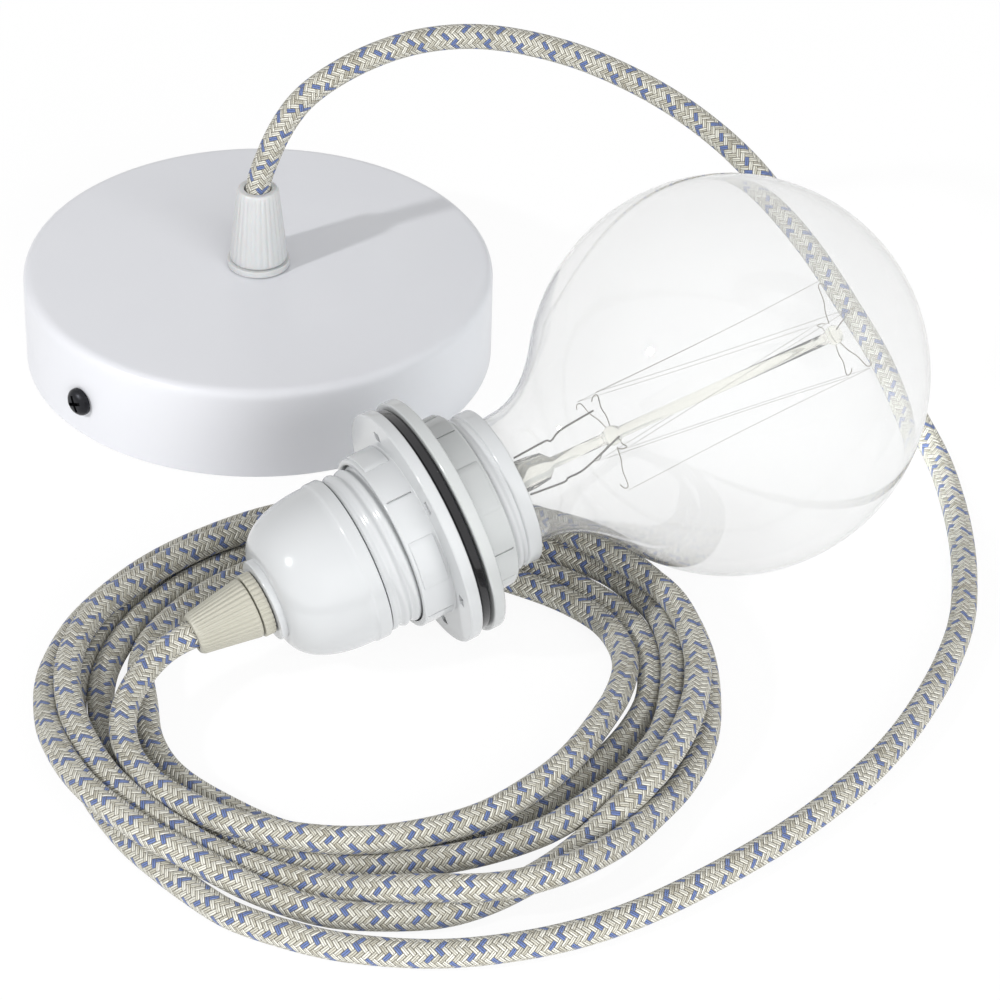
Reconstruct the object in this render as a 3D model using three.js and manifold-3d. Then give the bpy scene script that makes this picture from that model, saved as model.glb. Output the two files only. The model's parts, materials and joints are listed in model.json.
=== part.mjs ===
// A pendant cord set laid out on a table: a ceiling rose, a braided cord in a loose coil,
// and a screw lamp holder with two shade rings and a clear globe bulb.
// Millimetres, +Z up. The origin is the middle of the rose's open side, which faces the ceiling in use.

import * as THREE from "three";
import { mergeVertices } from "three/addons/utils/BufferGeometryUtils.js";
import Module from "manifold-3d";

const wasm = await Module();
wasm.setup();

// Clearances between pieces that touch
const touchGap = 0.3;
const threadGap = 0.35;
const slackGap = 0.6;

// Ceiling rose and what it holds
const roseRadius = 60;
const roseHeight = 25;
const roseWall = 1;
const roseEdgeRadius = 3.5;
const sideScrewAngle = THREE.MathUtils.degToRad(226.5);
const sideScrewHeight = 10.3;
const sideScrewRadius = 2;
const sideScrewLength = 7;
const screwHeadRadius = 3.6;
const screwHeadHeight = 2.4;
const crossSlotWidth = 0.9;
const crossSlotDepth = 1.3;
const bracketWidth = 20;
const bracketThickness = 2;
const bracketTabHeight = 17;
const bracketSlotLength = 15;
const bracketSlotWidth = 5;
const bracketSlotPlace = 44;
const earthScrewPlace = 26;
const blockPlace = -23;
const blockLength = 18;
const blockWidth = 18;
const blockHeight = 11;
const sleevePitch = 8.6;
const sleeveRadius = 2.5;
const sleeveBore = 1.6;
const blockScrewRadius = 1.2;
const blockScrewHeadRadius = 1.9;
const blockScrewPlace = 4.5;
const roseNutAcrossFlats = 14;
const roseNutHeight = 4;

// Cord and wires
const cordRadius = 3.1;
const wireRadius = 1.1;
const cordSides = 8;
const wireSides = 6;
const cordStep = 15;

// Cord grips: a base with a threaded stem and a slit collar, and a ribbed cone screwed over it
const gripStemRadius = 4.9;
const gripRibs = 28;
const gripRibDepth = 0.32;
const roseGripBase = { radius: 8, height: 1.6, stem: 8 };
const roseGripCone = { radius: 7.4, tipRadius: 5.1, height: 20.1 };
const holderGripBase = { radius: 7.7, height: 2.6, stem: 5.4 };
const holderGripCone = { radius: 7.3, tipRadius: 4.8, height: 14.6 };

// Bulb, measured along its axis from the middle of the globe towards the cord
const globeRadius = 47.5;
const glassWall = 0.8;
const bulbLength = 138;
const neckStart = 38;
const neckRadius = 16;
const neckEnd = 56;
const neckTaper = 0.05;
const bulbCapHeight = 26;
const bulbCapRadius = 13.2;
const bulbCapWall = 0.5;
const bulbThreadPitch = 3.6;
const bulbThreadDepth = 0.6;
const bulbInsulatorHeight = 3.4;
const bulbContactHeight = 1.6;
const bulbContactRadius = 4.3;
const stemLean = THREE.MathUtils.degToRad(2);
const stemFlareRadius = 10.3;
const stemLength = 10.5;
const pinchRadius = 4;
const rodRadius = 1.4;
const rodStart = 22.4;
const rodLength = 60.6;
const buttonRadius = 2.4;
const hookReach = 12.2;
const hookCount = 5;
const hookWireRadius = 0.25;
const leadWireRadius = 0.35;
const leadWireReach1 = 7;
const leadWireReach2 = 8;
const filamentRadius = 0.12;
const filamentSlack = 0.65;
const filamentLift = 1.9;

// Lamp holder
const insertionDepth = 29.3;
const bodyThreadLength = 39.2;
const bodyThreadRadius = 19.4;
const bodyThreadPitch = 3;
const bodyThreadDepth = 0.75;
const bodyRimLength = 3.4;
const bodyNeckLength = 3.8;
const bodyMouthDepth = 4.8;
const bodyMouthRadius = 16.9;
const shellWall = 0.45;
const contactBlockRadius = 16.1;
const contactBlockHeight = 9;
const postHeight = 6;
const postWidth = 9;
const postInner = 3.6;
const postOuter = 14.2;
const postScrewPlace = 11;
const postWirePlace = 5.8;
const postScrewRadius = 1.5;
const postScrewHeadRadius = 2.5;
const capRadius = 19.8;
const capWall = 1.9;
const capSkirtLength = 3.6;
const capDomeLength = 17.2;
const capDomeFullness = 2.15;
const collarRadius = 9.8;
const collarHeight = 2.4;

// Shade rings
const ringPlace = 7.3;
const ringBarrelLength = 7.8;
const ringBarrelRadius = 21.2;
const flangeRadius = 29;
const flangeThickness = 3;
const flangeEdge = 0.5;
const gasketThickness = 2.4;
const gasketRadius = 28;
const padCount = 4;
const padAngle = THREE.MathUtils.degToRad(33);
const padHeight = 0.45;
const padMargin = 0.8;
const grooveWidth = 0.5;
const grooveDepth = 0.45;
const flangeSlotCount = 6;
const flangeSlotPlace = 24.3;
const flangeSlotLength = 2.8;
const flangeSlotWidth = 1.1;
const rearRingTurn = THREE.MathUtils.degToRad(107.5);
const frontRingTurn = THREE.MathUtils.degToRad(135.5);
const flangeSlotTurn = THREE.MathUtils.degToRad(17.8);

// Where the lamp lies on the table, and which way its cord end points
const lampX = 116.4;
const lampY = -79.9;
const lampHeading = THREE.MathUtils.degToRad(208.2);

// Coil of cord beside the rose
const coilX = 37.5;
const coilY = -150;
const coilInnerRadius = 49;
const coilOuterRadius = 79.5;
const coilLayers = 2;
const coilShoulder = 3;
const coilClearance = 0.9;
const holderCordReach = 6.5;

// Sizes that follow from the ones above
const coilHeight = 2 * cordRadius * coilLayers + 0.2;
const gripBore = cordRadius + threadGap;
const gripHole = gripStemRadius + touchGap;
const bulbEnd = bulbLength - globeRadius;
const rimPlace = bulbEnd - insertionDepth;
const capJoint = rimPlace + bodyThreadLength;
const bodyEnd = capJoint + bodyNeckLength;
const capInnerRadius = capRadius - capWall;
const bodyNeckRadius = capInnerRadius - threadGap;
const capStart = capJoint + touchGap;
const domeStart = capStart + capSkirtLength;
const domeEnd = domeStart + capDomeLength;
const capEnd = domeEnd + collarHeight;
const holderGripPlace = capEnd + touchGap;
const cordEndInHolder = capEnd - holderGripBase.stem - 1.5;
const ringBore = bodyThreadRadius + threadGap;
const frontFlangeFace = rimPlace + ringPlace + ringBarrelLength;
const gasketPlace = frontFlangeFace + flangeThickness + touchGap;
const rearFlangeFace = gasketPlace + gasketThickness + touchGap;
const rearFlangeBack = rearFlangeFace + flangeThickness;
const restArm = Math.hypot(rearFlangeBack, flangeRadius);
const lampTilt = Math.atan2(rearFlangeBack, flangeRadius) - Math.acos(globeRadius / restArm);

// Materials
function finish(color, roughness, metalness = 0, opacity = 1) {
  const transparent = opacity < 1;
  return new THREE.MeshStandardMaterial({ color, roughness, metalness, opacity, transparent });
}

const whitePaint = finish(0xe9ebf2, 0.35);
const whitePlastic = finish(0xf1f2f4, 0.2);
const clearPlastic = finish(0xf2f2f0, 0.35, 0, 0.9);
const ivoryPlastic = finish(0xd9d5c6, 0.5);
const blackPlastic = finish(0x1c1c1e, 0.15);
const blackSteel = finish(0x202022, 0.35, 0.8);
const plainSteel = finish(0xb9bcc0, 0.35, 0.9);
const brass = finish(0xc9a75a, 0.3, 0.9);
const porcelain = finish(0xeeeae0, 0.25);
const brownWire = finish(0x6b4326, 0.5);
const blueWire = finish(0x2f5da8, 0.5);
const braid = finish(0xb4ab98, 0.9);
const glass = finish(0xf6f8f8, 0.02, 0, 0.25);
const darkGlass = finish(0x26242a, 0.1);
const darkWire = finish(0x55524c, 0.4, 0.8);
const tungsten = finish(0x8a8780, 0.4, 0.8);

const model = new THREE.Group();
const lamp = new THREE.Group();
lamp.position.set(lampX, lampY, globeRadius);
lamp.rotation.order = "ZYX";
lamp.rotation.z = lampHeading;
lamp.rotation.y = Math.PI / 2 + lampTilt;
model.add(lamp);
model.updateMatrixWorld(true);

function piece(name, geometry, material, parent = model) {
  const mesh = new THREE.Mesh(geometry, material);
  mesh.name = name;
  parent.add(mesh);
  return mesh;
}

// Shape helpers
function solidOf(geometry) {
  const bare = geometry.clone();
  bare.deleteAttribute("normal");
  bare.deleteAttribute("uv");
  const merged = mergeVertices(bare, 1e-4);
  const vertProperties = Float32Array.from(merged.attributes.position.array);
  const triVerts = Uint32Array.from(merged.index.array);
  return new wasm.Manifold(new wasm.Mesh({ numProp: 3, vertProperties, triVerts }));
}

function geometryOf(solid) {
  const mesh = solid.getMesh();
  const geometry = new THREE.BufferGeometry();
  geometry.setAttribute("position", new THREE.BufferAttribute(mesh.vertProperties, 3));
  geometry.setIndex(new THREE.BufferAttribute(mesh.triVerts, 1));
  geometry.computeVertexNormals();
  return geometry;
}

function cutBy(geometry, tools) {
  let solid = solidOf(geometry);
  for (const tool of tools) {
    solid = solid.subtract(solidOf(tool));
  }
  return geometryOf(solid);
}

function joinedWith(geometry, others) {
  let solid = solidOf(geometry);
  for (const other of others) {
    solid = solid.add(solidOf(other));
  }
  return geometryOf(solid);
}

// A turned piece about Z. The profile lists [radius, height] up the outside and back down the inside.
function turned(profile, segments) {
  const onAxis = profile[0][0] === 0 && profile[profile.length - 1][0] === 0;
  const closed = onAxis ? profile : [...profile, profile[0]];
  const points = closed.map(([radius, height]) => new THREE.Vector2(radius, height));
  return new THREE.LatheGeometry(points, segments).rotateX(Math.PI / 2);
}

function rod(radius, low, high, segments = 16) {
  return turned([[0, low], [radius, low], [radius, high], [0, high]], segments);
}

function tube(inner, outer, low, high, segments) {
  return turned([[inner, low], [outer, low], [outer, high], [inner, high]], segments);
}

function box(width, depth, low, high, x = 0, y = 0) {
  return new THREE.BoxGeometry(width, depth, high - low).translate(x, y, (low + high) / 2);
}

function round(radius, sides) {
  const points = [];
  for (let i = 0; i < sides; i += 1) {
    const angle = (2 * Math.PI * i) / sides;
    points.push(new THREE.Vector2(radius * Math.cos(angle), radius * Math.sin(angle)));
  }
  return new THREE.Shape(points);
}

function routed(points, radius, sides, steps, tension = 0.5) {
  const route = new THREE.CatmullRomCurve3(points, false, "catmullrom", tension);
  const options = { steps, bevelEnabled: false, extrudePath: route };
  return new THREE.ExtrudeGeometry(round(radius, sides), options);
}

function steppedRoute(points, radius, sides, step) {
  const length = new THREE.CatmullRomCurve3(points).getLength();
  return routed(points, radius, sides, Math.ceil(length / step));
}

function vectors(list) {
  return list.map(([x, y, z]) => new THREE.Vector3(x, y, z));
}

// An arc of profile points, angles in degrees
function arc(centreR, centreZ, radius, from, to, steps) {
  const points = [];
  for (let i = 0; i <= steps; i += 1) {
    const angle = THREE.MathUtils.degToRad(from + ((to - from) * i) / steps);
    points.push([centreR + radius * Math.cos(angle), centreZ + radius * Math.sin(angle)]);
  }
  return points;
}

// Presses grooves between the ribs of a turned piece, on the skin between two heights
function ribbed(geometry, ribs, depth, low, high, skinRadius) {
  const position = geometry.attributes.position;
  for (let i = 0; i < position.count; i += 1) {
    const [x, y, z] = [position.getX(i), position.getY(i), position.getZ(i)];
    const radius = Math.hypot(x, y);
    const share = Math.atan2(y, x) / (Math.PI / ribs);
    const valley = Math.abs(Math.round(share)) % 2 === 1;
    if (valley && radius > skinRadius && z > low && z < high) {
      const scale = (radius - depth) / radius;
      position.setXYZ(i, x * scale, y * scale, z);
    }
  }
  return geometry;
}

function panHeadScrew(shankRadius, shankLength, headRadius, headHeight) {
  const bevel = headHeight * 0.45;
  const profile = [
    [0, -shankLength], [shankRadius, -shankLength], [shankRadius, 0], [headRadius, 0],
    [headRadius, headHeight - bevel], [headRadius * 0.72, headHeight], [0, headHeight],
  ];
  const slot = headRadius * 1.3;
  const low = headHeight - crossSlotDepth * (headHeight / screwHeadHeight);
  const slots = [box(slot, crossSlotWidth, low, headHeight + 1), box(crossSlotWidth, slot, low, headHeight + 1)];
  return cutBy(turned(profile, 16), slots);
}

function slottedScrew(shankRadius, shankLength, headRadius, headHeight) {
  const profile = [
    [0, -shankLength], [shankRadius, -shankLength], [shankRadius, 0],
    [headRadius, 0], [headRadius, headHeight], [0, headHeight],
  ];
  const slot = box(headRadius * 3, headRadius * 0.35, headHeight * 0.5, headHeight + 1);
  return cutBy(turned(profile, 14), [slot]);
}

// Ceiling rose
function makeCeilingRose() {
  const corner = arc(roseRadius - roseEdgeRadius, roseHeight - roseEdgeRadius, roseEdgeRadius, 0, 90, 4);
  const inner = arc(
    roseRadius - roseEdgeRadius, roseHeight - roseEdgeRadius, roseEdgeRadius - roseWall, 90, 0, 3,
  );
  const profile = [
    [roseRadius, 0], ...corner, [gripHole, roseHeight], [gripHole, roseHeight - roseWall],
    ...inner, [roseRadius - roseWall, 0],
  ];
  const drill = rod(sideScrewRadius + touchGap, -roseRadius * 1.1, roseRadius * 1.1, 12);
  drill.rotateY(Math.PI / 2);
  drill.rotateZ(sideScrewAngle);
  drill.translate(0, 0, sideScrewHeight);
  return cutBy(turned(profile, 44), [drill]);
}

const insideRadius = roseRadius - roseWall - slackGap;
const bracketReach = Math.sqrt(insideRadius ** 2 - (bracketWidth / 2) ** 2);

function makeBracket() {
  const outline = new THREE.Shape();
  outline.moveTo(-bracketReach, 0);
  outline.lineTo(bracketReach, 0);
  outline.lineTo(bracketReach, bracketTabHeight);
  outline.lineTo(bracketReach - bracketThickness, bracketTabHeight);
  outline.lineTo(bracketReach - bracketThickness, bracketThickness);
  outline.lineTo(-bracketReach + bracketThickness, bracketThickness);
  outline.lineTo(-bracketReach + bracketThickness, bracketTabHeight);
  outline.lineTo(-bracketReach, bracketTabHeight);
  const strip = new THREE.ExtrudeGeometry(outline, { depth: bracketWidth, bevelEnabled: false });
  strip.translate(0, 0, -bracketWidth / 2);
  strip.rotateX(Math.PI / 2);
  const screwHole = rod(sideScrewRadius + touchGap, -bracketReach - 5, bracketReach + 5, 12);
  screwHole.rotateY(Math.PI / 2);
  screwHole.translate(0, 0, sideScrewHeight);
  const earthHole = rod(sideScrewRadius + touchGap, -1, bracketThickness + 1, 12);
  earthHole.translate(earthScrewPlace, 0, 0);
  const slots = [-1, 1].map((side) => {
    const shape = new THREE.Shape();
    const [half, straight] = [bracketSlotWidth / 2, (bracketSlotLength - bracketSlotWidth) / 2];
    shape.absarc(straight, 0, half, -Math.PI / 2, Math.PI / 2);
    shape.absarc(-straight, 0, half, Math.PI / 2, (3 * Math.PI) / 2);
    const options = { depth: bracketThickness + 2, bevelEnabled: false, curveSegments: 6 };
    return new THREE.ExtrudeGeometry(shape, options).translate(side * bracketSlotPlace, 0, -1);
  });
  return cutBy(strip, [screwHole, earthHole, ...slots]);
}

function cordGripBase({ radius, height, stem }, coneHeight, ribs) {
  const collar = height + coneHeight * 0.45;
  const plainHead = rod(radius, 0, height, ribs ? 2 * ribs : 24);
  const head = ribs ? ribbed(plainHead, ribs, gripRibDepth, -0.1, height + 0.1, radius - 1) : plainHead;
  const base = joinedWith(head, [rod(gripStemRadius, -stem, collar, 20)]);
  return cutBy(base, [rod(gripBore, -stem - 1, collar + 1, 16)]);
}

function cordGripCone({ radius, tipRadius, height }, base) {
  const low = base.height + touchGap;
  const collar = base.height + height * 0.45 + touchGap;
  const edge = 0.9;
  const top = low + height;
  const profile = [
    [0, low], [radius, low], [radius - 0.1, low + edge], [tipRadius + 0.3, top - edge],
    [tipRadius - 0.35, top], [0, top],
  ];
  const cone = ribbed(turned(profile, 2 * gripRibs), gripRibs, gripRibDepth, low - 0.1, top - 0.1, 1);
  return cutBy(cone, [rod(gripBore, low, top + 1, 16), rod(gripHole, low - 1, collar, 20)]);
}

function makeHexNut(acrossFlats, height, bore) {
  const shape = new THREE.Shape();
  for (let i = 0; i < 6; i += 1) {
    const angle = (i * Math.PI) / 3;
    const corner = acrossFlats / 2 / Math.cos(Math.PI / 6);
    const step = i === 0 ? "moveTo" : "lineTo";
    shape[step](corner * Math.cos(angle), corner * Math.sin(angle));
  }
  const nut = new THREE.ExtrudeGeometry(shape, { depth: height, bevelEnabled: false });
  return cutBy(nut, [rod(bore, -1, height + 1, 24)]);
}

function makeTerminalBlock() {
  const body = box(blockLength, blockWidth, 0, blockHeight);
  const tools = [];
  for (const side of [-1, 1]) {
    const bore = rod(sleeveRadius + touchGap, -blockLength, blockLength, 16).rotateY(Math.PI / 2);
    tools.push(bore.translate(0, (side * sleevePitch) / 2, blockHeight / 2));
    for (const end of [-1, 1]) {
      const hole = rod(blockScrewHeadRadius + touchGap, blockHeight / 2, blockHeight + 1, 12);
      tools.push(hole.translate(end * blockScrewPlace, (side * sleevePitch) / 2, 0));
    }
  }
  return cutBy(body, tools);
}

function makeSleeve() {
  const sleeve = tube(sleeveBore, sleeveRadius, -blockLength / 2 + 1, blockLength / 2 - 1, 16);
  sleeve.rotateY(Math.PI / 2);
  const tools = [-1, 1].map((end) => (
    rod(blockScrewRadius + touchGap, 0, sleeveRadius * 2, 12).translate(end * blockScrewPlace, 0, 0)
  ));
  return cutBy(sleeve, tools);
}

const rose = new THREE.Group();
model.add(rose);
piece("ceiling_rose", makeCeilingRose(), whitePaint, rose);

const bracketGroup = new THREE.Group();
bracketGroup.rotation.z = sideScrewAngle;
rose.add(bracketGroup);
piece("rose_bracket", makeBracket(), plainSteel, bracketGroup);

for (const [name, turn] of [["side_screw_front", 0], ["side_screw_back", Math.PI]]) {
  const geometry = panHeadScrew(sideScrewRadius, sideScrewLength, screwHeadRadius, screwHeadHeight);
  geometry.rotateY(Math.PI / 2);
  const screw = piece(name, geometry, blackSteel, rose);
  const angle = sideScrewAngle + turn;
  screw.rotation.z = angle;
  screw.position.set(Math.cos(angle), Math.sin(angle), 0).multiplyScalar(roseRadius + touchGap);
  screw.position.z = sideScrewHeight;
}

const earthShank = bracketThickness - touchGap;
const earthScrew = panHeadScrew(sideScrewRadius, earthShank, screwHeadRadius, screwHeadHeight);
piece("earth_screw", earthScrew, brass, bracketGroup).position.set(
  earthScrewPlace, 0, bracketThickness + touchGap,
);

const block = new THREE.Group();
block.position.set(blockPlace, 0, bracketThickness + touchGap);
bracketGroup.add(block);
piece("terminal_block", makeTerminalBlock(), porcelain, block);
const sleeveHeight = blockHeight / 2;
const poles = [["live", -1, brownWire], ["neutral", 1, blueWire]];
for (const [pole, side] of poles) {
  const y = (side * sleevePitch) / 2;
  piece(`terminal_sleeve_${pole}`, makeSleeve(), brass, block).position.set(0, y, sleeveHeight);
  for (const [end, way] of [["outer", -1], ["inner", 1]]) {
    const shank = blockHeight - 1 - sleeveHeight - sleeveBore;
    const screw = slottedScrew(blockScrewRadius, shank - 1.6, blockScrewHeadRadius, 1.6);
    const mesh = piece(`terminal_screw_${pole}_${end}`, screw, plainSteel, block);
    mesh.position.set(way * blockScrewPlace, y, blockHeight - 2.6);
  }
}

const roseGrip = new THREE.Group();
roseGrip.position.z = roseHeight + touchGap;
rose.add(roseGrip);
piece("rose_grip_base", cordGripBase(roseGripBase, roseGripCone.height, 0), clearPlastic, roseGrip);
piece("rose_grip_cone", cordGripCone(roseGripCone, roseGripBase), clearPlastic, roseGrip);
const nutPlace = roseHeight - roseWall - touchGap - roseNutHeight;
piece("rose_grip_nut", makeHexNut(roseNutAcrossFlats, roseNutHeight, gripHole), clearPlastic, rose)
  .position.z = nutPlace;

const cordEndInRose = roseHeight - roseGripBase.stem - 1;
const cordGripTop = roseHeight + 2 * touchGap + roseGripBase.height + roseGripCone.height;

function makeRoseWire(side) {
  const mouth = blockPlace + blockLength / 2;
  const sleeveLevel = bracketThickness + touchGap + sleeveHeight;
  const y = (side * sleevePitch) / 2;
  const start = cordEndInRose - slackGap;
  const points = vectors([
    [0, side * 1.5, start], [-0.4, side * 1.8, start - 2.5], [-3, side * 3.2, sleeveLevel + 2.2],
    [-7, y, sleeveLevel + 0.3], [mouth + 3, y, sleeveLevel], [mouth - 4.5, y, sleeveLevel],
  ]);
  return routed(points, wireRadius, wireSides, 14);
}

for (const [pole, side, material] of poles) {
  piece(`rose_wire_${pole}`, makeRoseWire(side), material, bracketGroup);
}

// Lamp holder
function domePoints(radius, endRadius, low, high, steps, falling) {
  const points = [];
  for (let i = 0; i <= steps; i += 1) {
    const share = Math.sin((i / steps) * (Math.PI / 2));
    const width = (1 - share ** capDomeFullness) ** (1 / capDomeFullness);
    points.push([endRadius + (radius - endRadius) * width, low + (high - low) * share]);
  }
  return falling ? points.reverse() : points;
}

function makeHolderCap() {
  const skirt = capRadius - 0.35;
  const profile = [
    [capInnerRadius, capStart], [capRadius, capStart], [capRadius, domeStart - 0.6],
    ...domePoints(skirt, collarRadius, domeStart, domeEnd, 7, false), [collarRadius, capEnd],
    [gripHole, capEnd], [gripHole, domeEnd - capWall],
    ...domePoints(capInnerRadius, collarRadius - capWall, domeStart, domeEnd - capWall, 4, true),
  ];
  return turned(profile, 28);
}

function threadPoints(radius, depth, pitch, low, high) {
  const points = [];
  for (let z = low; z + pitch <= high + 0.01; z += pitch) {
    points.push([radius - depth, z], [radius, z + pitch * 0.5]);
  }
  return points;
}

const shellInnerRadius = bulbCapRadius + threadGap;
const shellOuterRadius = shellInnerRadius + shellWall;
const blockFace = bulbEnd + 1.6;
const shellEnd = blockFace - touchGap;
const bodyBore = shellOuterRadius + touchGap;
const blockSeat = contactBlockRadius + touchGap;

function makeHolderBody() {
  const rim = rimPlace;
  const threadLow = rim + bodyRimLength;
  const rimRadius = bodyThreadRadius - 0.15;
  const profile = [
    [bodyMouthRadius, rim + 0.4], [bodyMouthRadius + 0.4, rim], [rimRadius - 0.5, rim], [rimRadius, rim + 0.5],
    [rimRadius, threadLow], ...threadPoints(bodyThreadRadius, bodyThreadDepth, bodyThreadPitch, threadLow, capJoint),
    [bodyThreadRadius, capJoint], [bodyNeckRadius, capJoint], [bodyNeckRadius, bodyEnd], [blockSeat, bodyEnd],
    [blockSeat, blockFace - touchGap], [bodyBore, blockFace - touchGap],
    [bodyBore, rim + bodyMouthDepth], [bodyMouthRadius, rim + bodyMouthDepth],
  ];
  return turned(profile, 28);
}

function makeShadeRing(turn) {
  const barrelEnd = flangeThickness + ringBarrelLength;
  const profile = [
    [ringBore, 0], [flangeRadius - flangeEdge, 0], [flangeRadius, flangeEdge],
    [flangeRadius, flangeThickness - flangeEdge], [flangeRadius - flangeEdge, flangeThickness],
    [ringBarrelRadius, flangeThickness], [ringBarrelRadius, barrelEnd - 0.4],
    [ringBarrelRadius - 0.4, barrelEnd], [ringBore, barrelEnd],
  ];
  const pads = [];
  const cuts = [];
  for (let i = 0; i < padCount; i += 1) {
    const middle = turn + (i * 2 * Math.PI) / padCount;
    const shape = new THREE.Shape();
    shape.absarc(0, 0, ringBarrelRadius + padHeight, middle - padAngle / 2, middle + padAngle / 2);
    shape.absarc(0, 0, (ringBore + ringBarrelRadius) / 2, middle + padAngle / 2, middle - padAngle / 2, true);
    const depth = ringBarrelLength - 2 * padMargin;
    const options = { depth, bevelEnabled: false, curveSegments: 4 };
    pads.push(new THREE.ExtrudeGeometry(shape, options).translate(0, 0, flangeThickness + padMargin));
    const groove = box(2 * grooveDepth, grooveWidth, flangeThickness + padMargin, barrelEnd - padMargin);
    groove.translate(ringBarrelRadius, 0, 0);
    cuts.push(groove.rotateZ(middle + Math.PI / padCount));
  }
  for (let i = 0; i < flangeSlotCount; i += 1) {
    const slot = box(flangeSlotWidth, flangeSlotLength, -1, flangeThickness + 1, flangeSlotPlace, 0);
    cuts.push(slot.rotateZ(flangeSlotTurn + (i * 2 * Math.PI) / flangeSlotCount));
  }
  return cutBy(joinedWith(turned(profile, 28), pads), cuts);
}

function makeContactBlock() {
  const top = blockFace + contactBlockHeight;
  const disc = rod(contactBlockRadius, blockFace, top, 24);
  const posts = [-1, 1].map((side) => (
    box(postWidth, postOuter - postInner, top - 1, top + postHeight, 0, (side * (postOuter + postInner)) / 2)
  ));
  const holes = [-1, 1].flatMap((side) => {
    const deep = top - 4;
    const end = top + postHeight + 1;
    return [
      rod(postScrewRadius + touchGap, deep, end, 12).translate(0, side * postScrewPlace, 0),
      rod(wireRadius + touchGap, deep, end, 12).translate(0, side * postWirePlace, 0),
    ];
  });
  return cutBy(joinedWith(disc, posts), holes);
}

function makeScrewShell() {
  const start = rimPlace + bodyMouthDepth + 0.6;
  const profile = [
    [shellInnerRadius, start], [shellOuterRadius, start], [shellOuterRadius, shellEnd],
    [bulbContactRadius + 1.5, shellEnd], [bulbContactRadius + 1.5, shellEnd - shellWall],
    [shellInnerRadius, shellEnd - shellWall],
  ];
  return turned(profile, 24);
}

function makeCentreContact() {
  const low = bulbEnd + touchGap;
  const high = blockFace - touchGap;
  const outline = new THREE.Shape();
  outline.moveTo(-4, high - 0.5);
  outline.lineTo(0.5, high - 0.5);
  outline.lineTo(1.5, low);
  outline.lineTo(4, low);
  outline.lineTo(4, low + 0.5);
  outline.lineTo(2, low + 0.5);
  outline.lineTo(1, high);
  outline.lineTo(-4, high);
  const strip = new THREE.ExtrudeGeometry(outline, { depth: 4, bevelEnabled: false });
  return strip.translate(0, 0, -2).rotateX(Math.PI / 2);
}

function makeHolderWire(side) {
  const start = cordEndInHolder - slackGap;
  const hole = blockFace + contactBlockHeight - 3;
  const mouth = blockFace + contactBlockHeight + postHeight;
  const y = side * postWirePlace;
  const points = vectors([
    [0, side * 1.5, start], [0, side * 1.8, start - 2], [0, y * 0.75, (start + mouth) / 2 + 0.5],
    [0, y, mouth + 1.2], [0, y, mouth - 2], [0, y, hole],
  ]);
  return routed(points, wireRadius, wireSides, 12);
}

piece("holder_cap", makeHolderCap(), whitePlastic, lamp);
piece("holder_body", makeHolderBody(), whitePlastic, lamp);
const frontRing = piece("front_shade_ring", makeShadeRing(-frontRingTurn), whitePlastic, lamp);
frontRing.rotation.x = Math.PI;
frontRing.position.z = frontFlangeFace + flangeThickness;
const rearRing = piece("rear_shade_ring", makeShadeRing(rearRingTurn), whitePlastic, lamp);
rearRing.position.z = rearFlangeFace;
const gasket = tube(ringBore, gasketRadius, gasketPlace, gasketPlace + gasketThickness, 28);
piece("flange_gasket", gasket, blackPlastic, lamp);
piece("contact_block", makeContactBlock(), porcelain, lamp);
piece("screw_shell", makeScrewShell(), brass, lamp);
piece("centre_contact", makeCentreContact(), brass, lamp);

for (const [pole, side, material] of poles) {
  const screw = slottedScrew(postScrewRadius, 6, postScrewHeadRadius, 1.8);
  const mesh = piece(`holder_screw_${pole}`, screw, plainSteel, lamp);
  mesh.position.set(0, side * postScrewPlace, blockFace + contactBlockHeight + postHeight + touchGap);
  piece(`holder_wire_${pole}`, makeHolderWire(side), material, lamp);
}

const holderGrip = new THREE.Group();
holderGrip.position.z = holderGripPlace;
lamp.add(holderGrip);
piece("holder_grip_base", cordGripBase(holderGripBase, holderGripCone.height, gripRibs), ivoryPlastic, holderGrip);
piece("holder_grip_cone", cordGripCone(holderGripCone, holderGripBase), ivoryPlastic, holderGrip);
const holderGripTip = holderGripPlace + holderGripBase.height + touchGap + holderGripCone.height;

// Bulb
const bulbCapTop = bulbEnd - bulbCapHeight;
const pinchPlace = bulbCapTop - stemLength;
const lowerButtonPlace = pinchPlace - rodStart;
const upperButtonPlace = lowerButtonPlace - rodLength;

function neckPoints(inset, steps) {
  const startRadius = Math.sqrt(globeRadius ** 2 - neckStart ** 2);
  const slope = -neckStart / startRadius;
  const length = neckEnd - neckStart;
  const points = [];
  for (let i = 1; i <= steps; i += 1) {
    const t = i / steps;
    const radius = (2 * t ** 3 - 3 * t ** 2 + 1) * startRadius
      + (t ** 3 - 2 * t ** 2 + t) * length * slope
      + (3 * t ** 2 - 2 * t ** 3) * neckRadius
      - (t ** 3 - t ** 2) * length * neckTaper;
    points.push([radius - inset, neckStart + length * t]);
  }
  return points;
}

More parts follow.
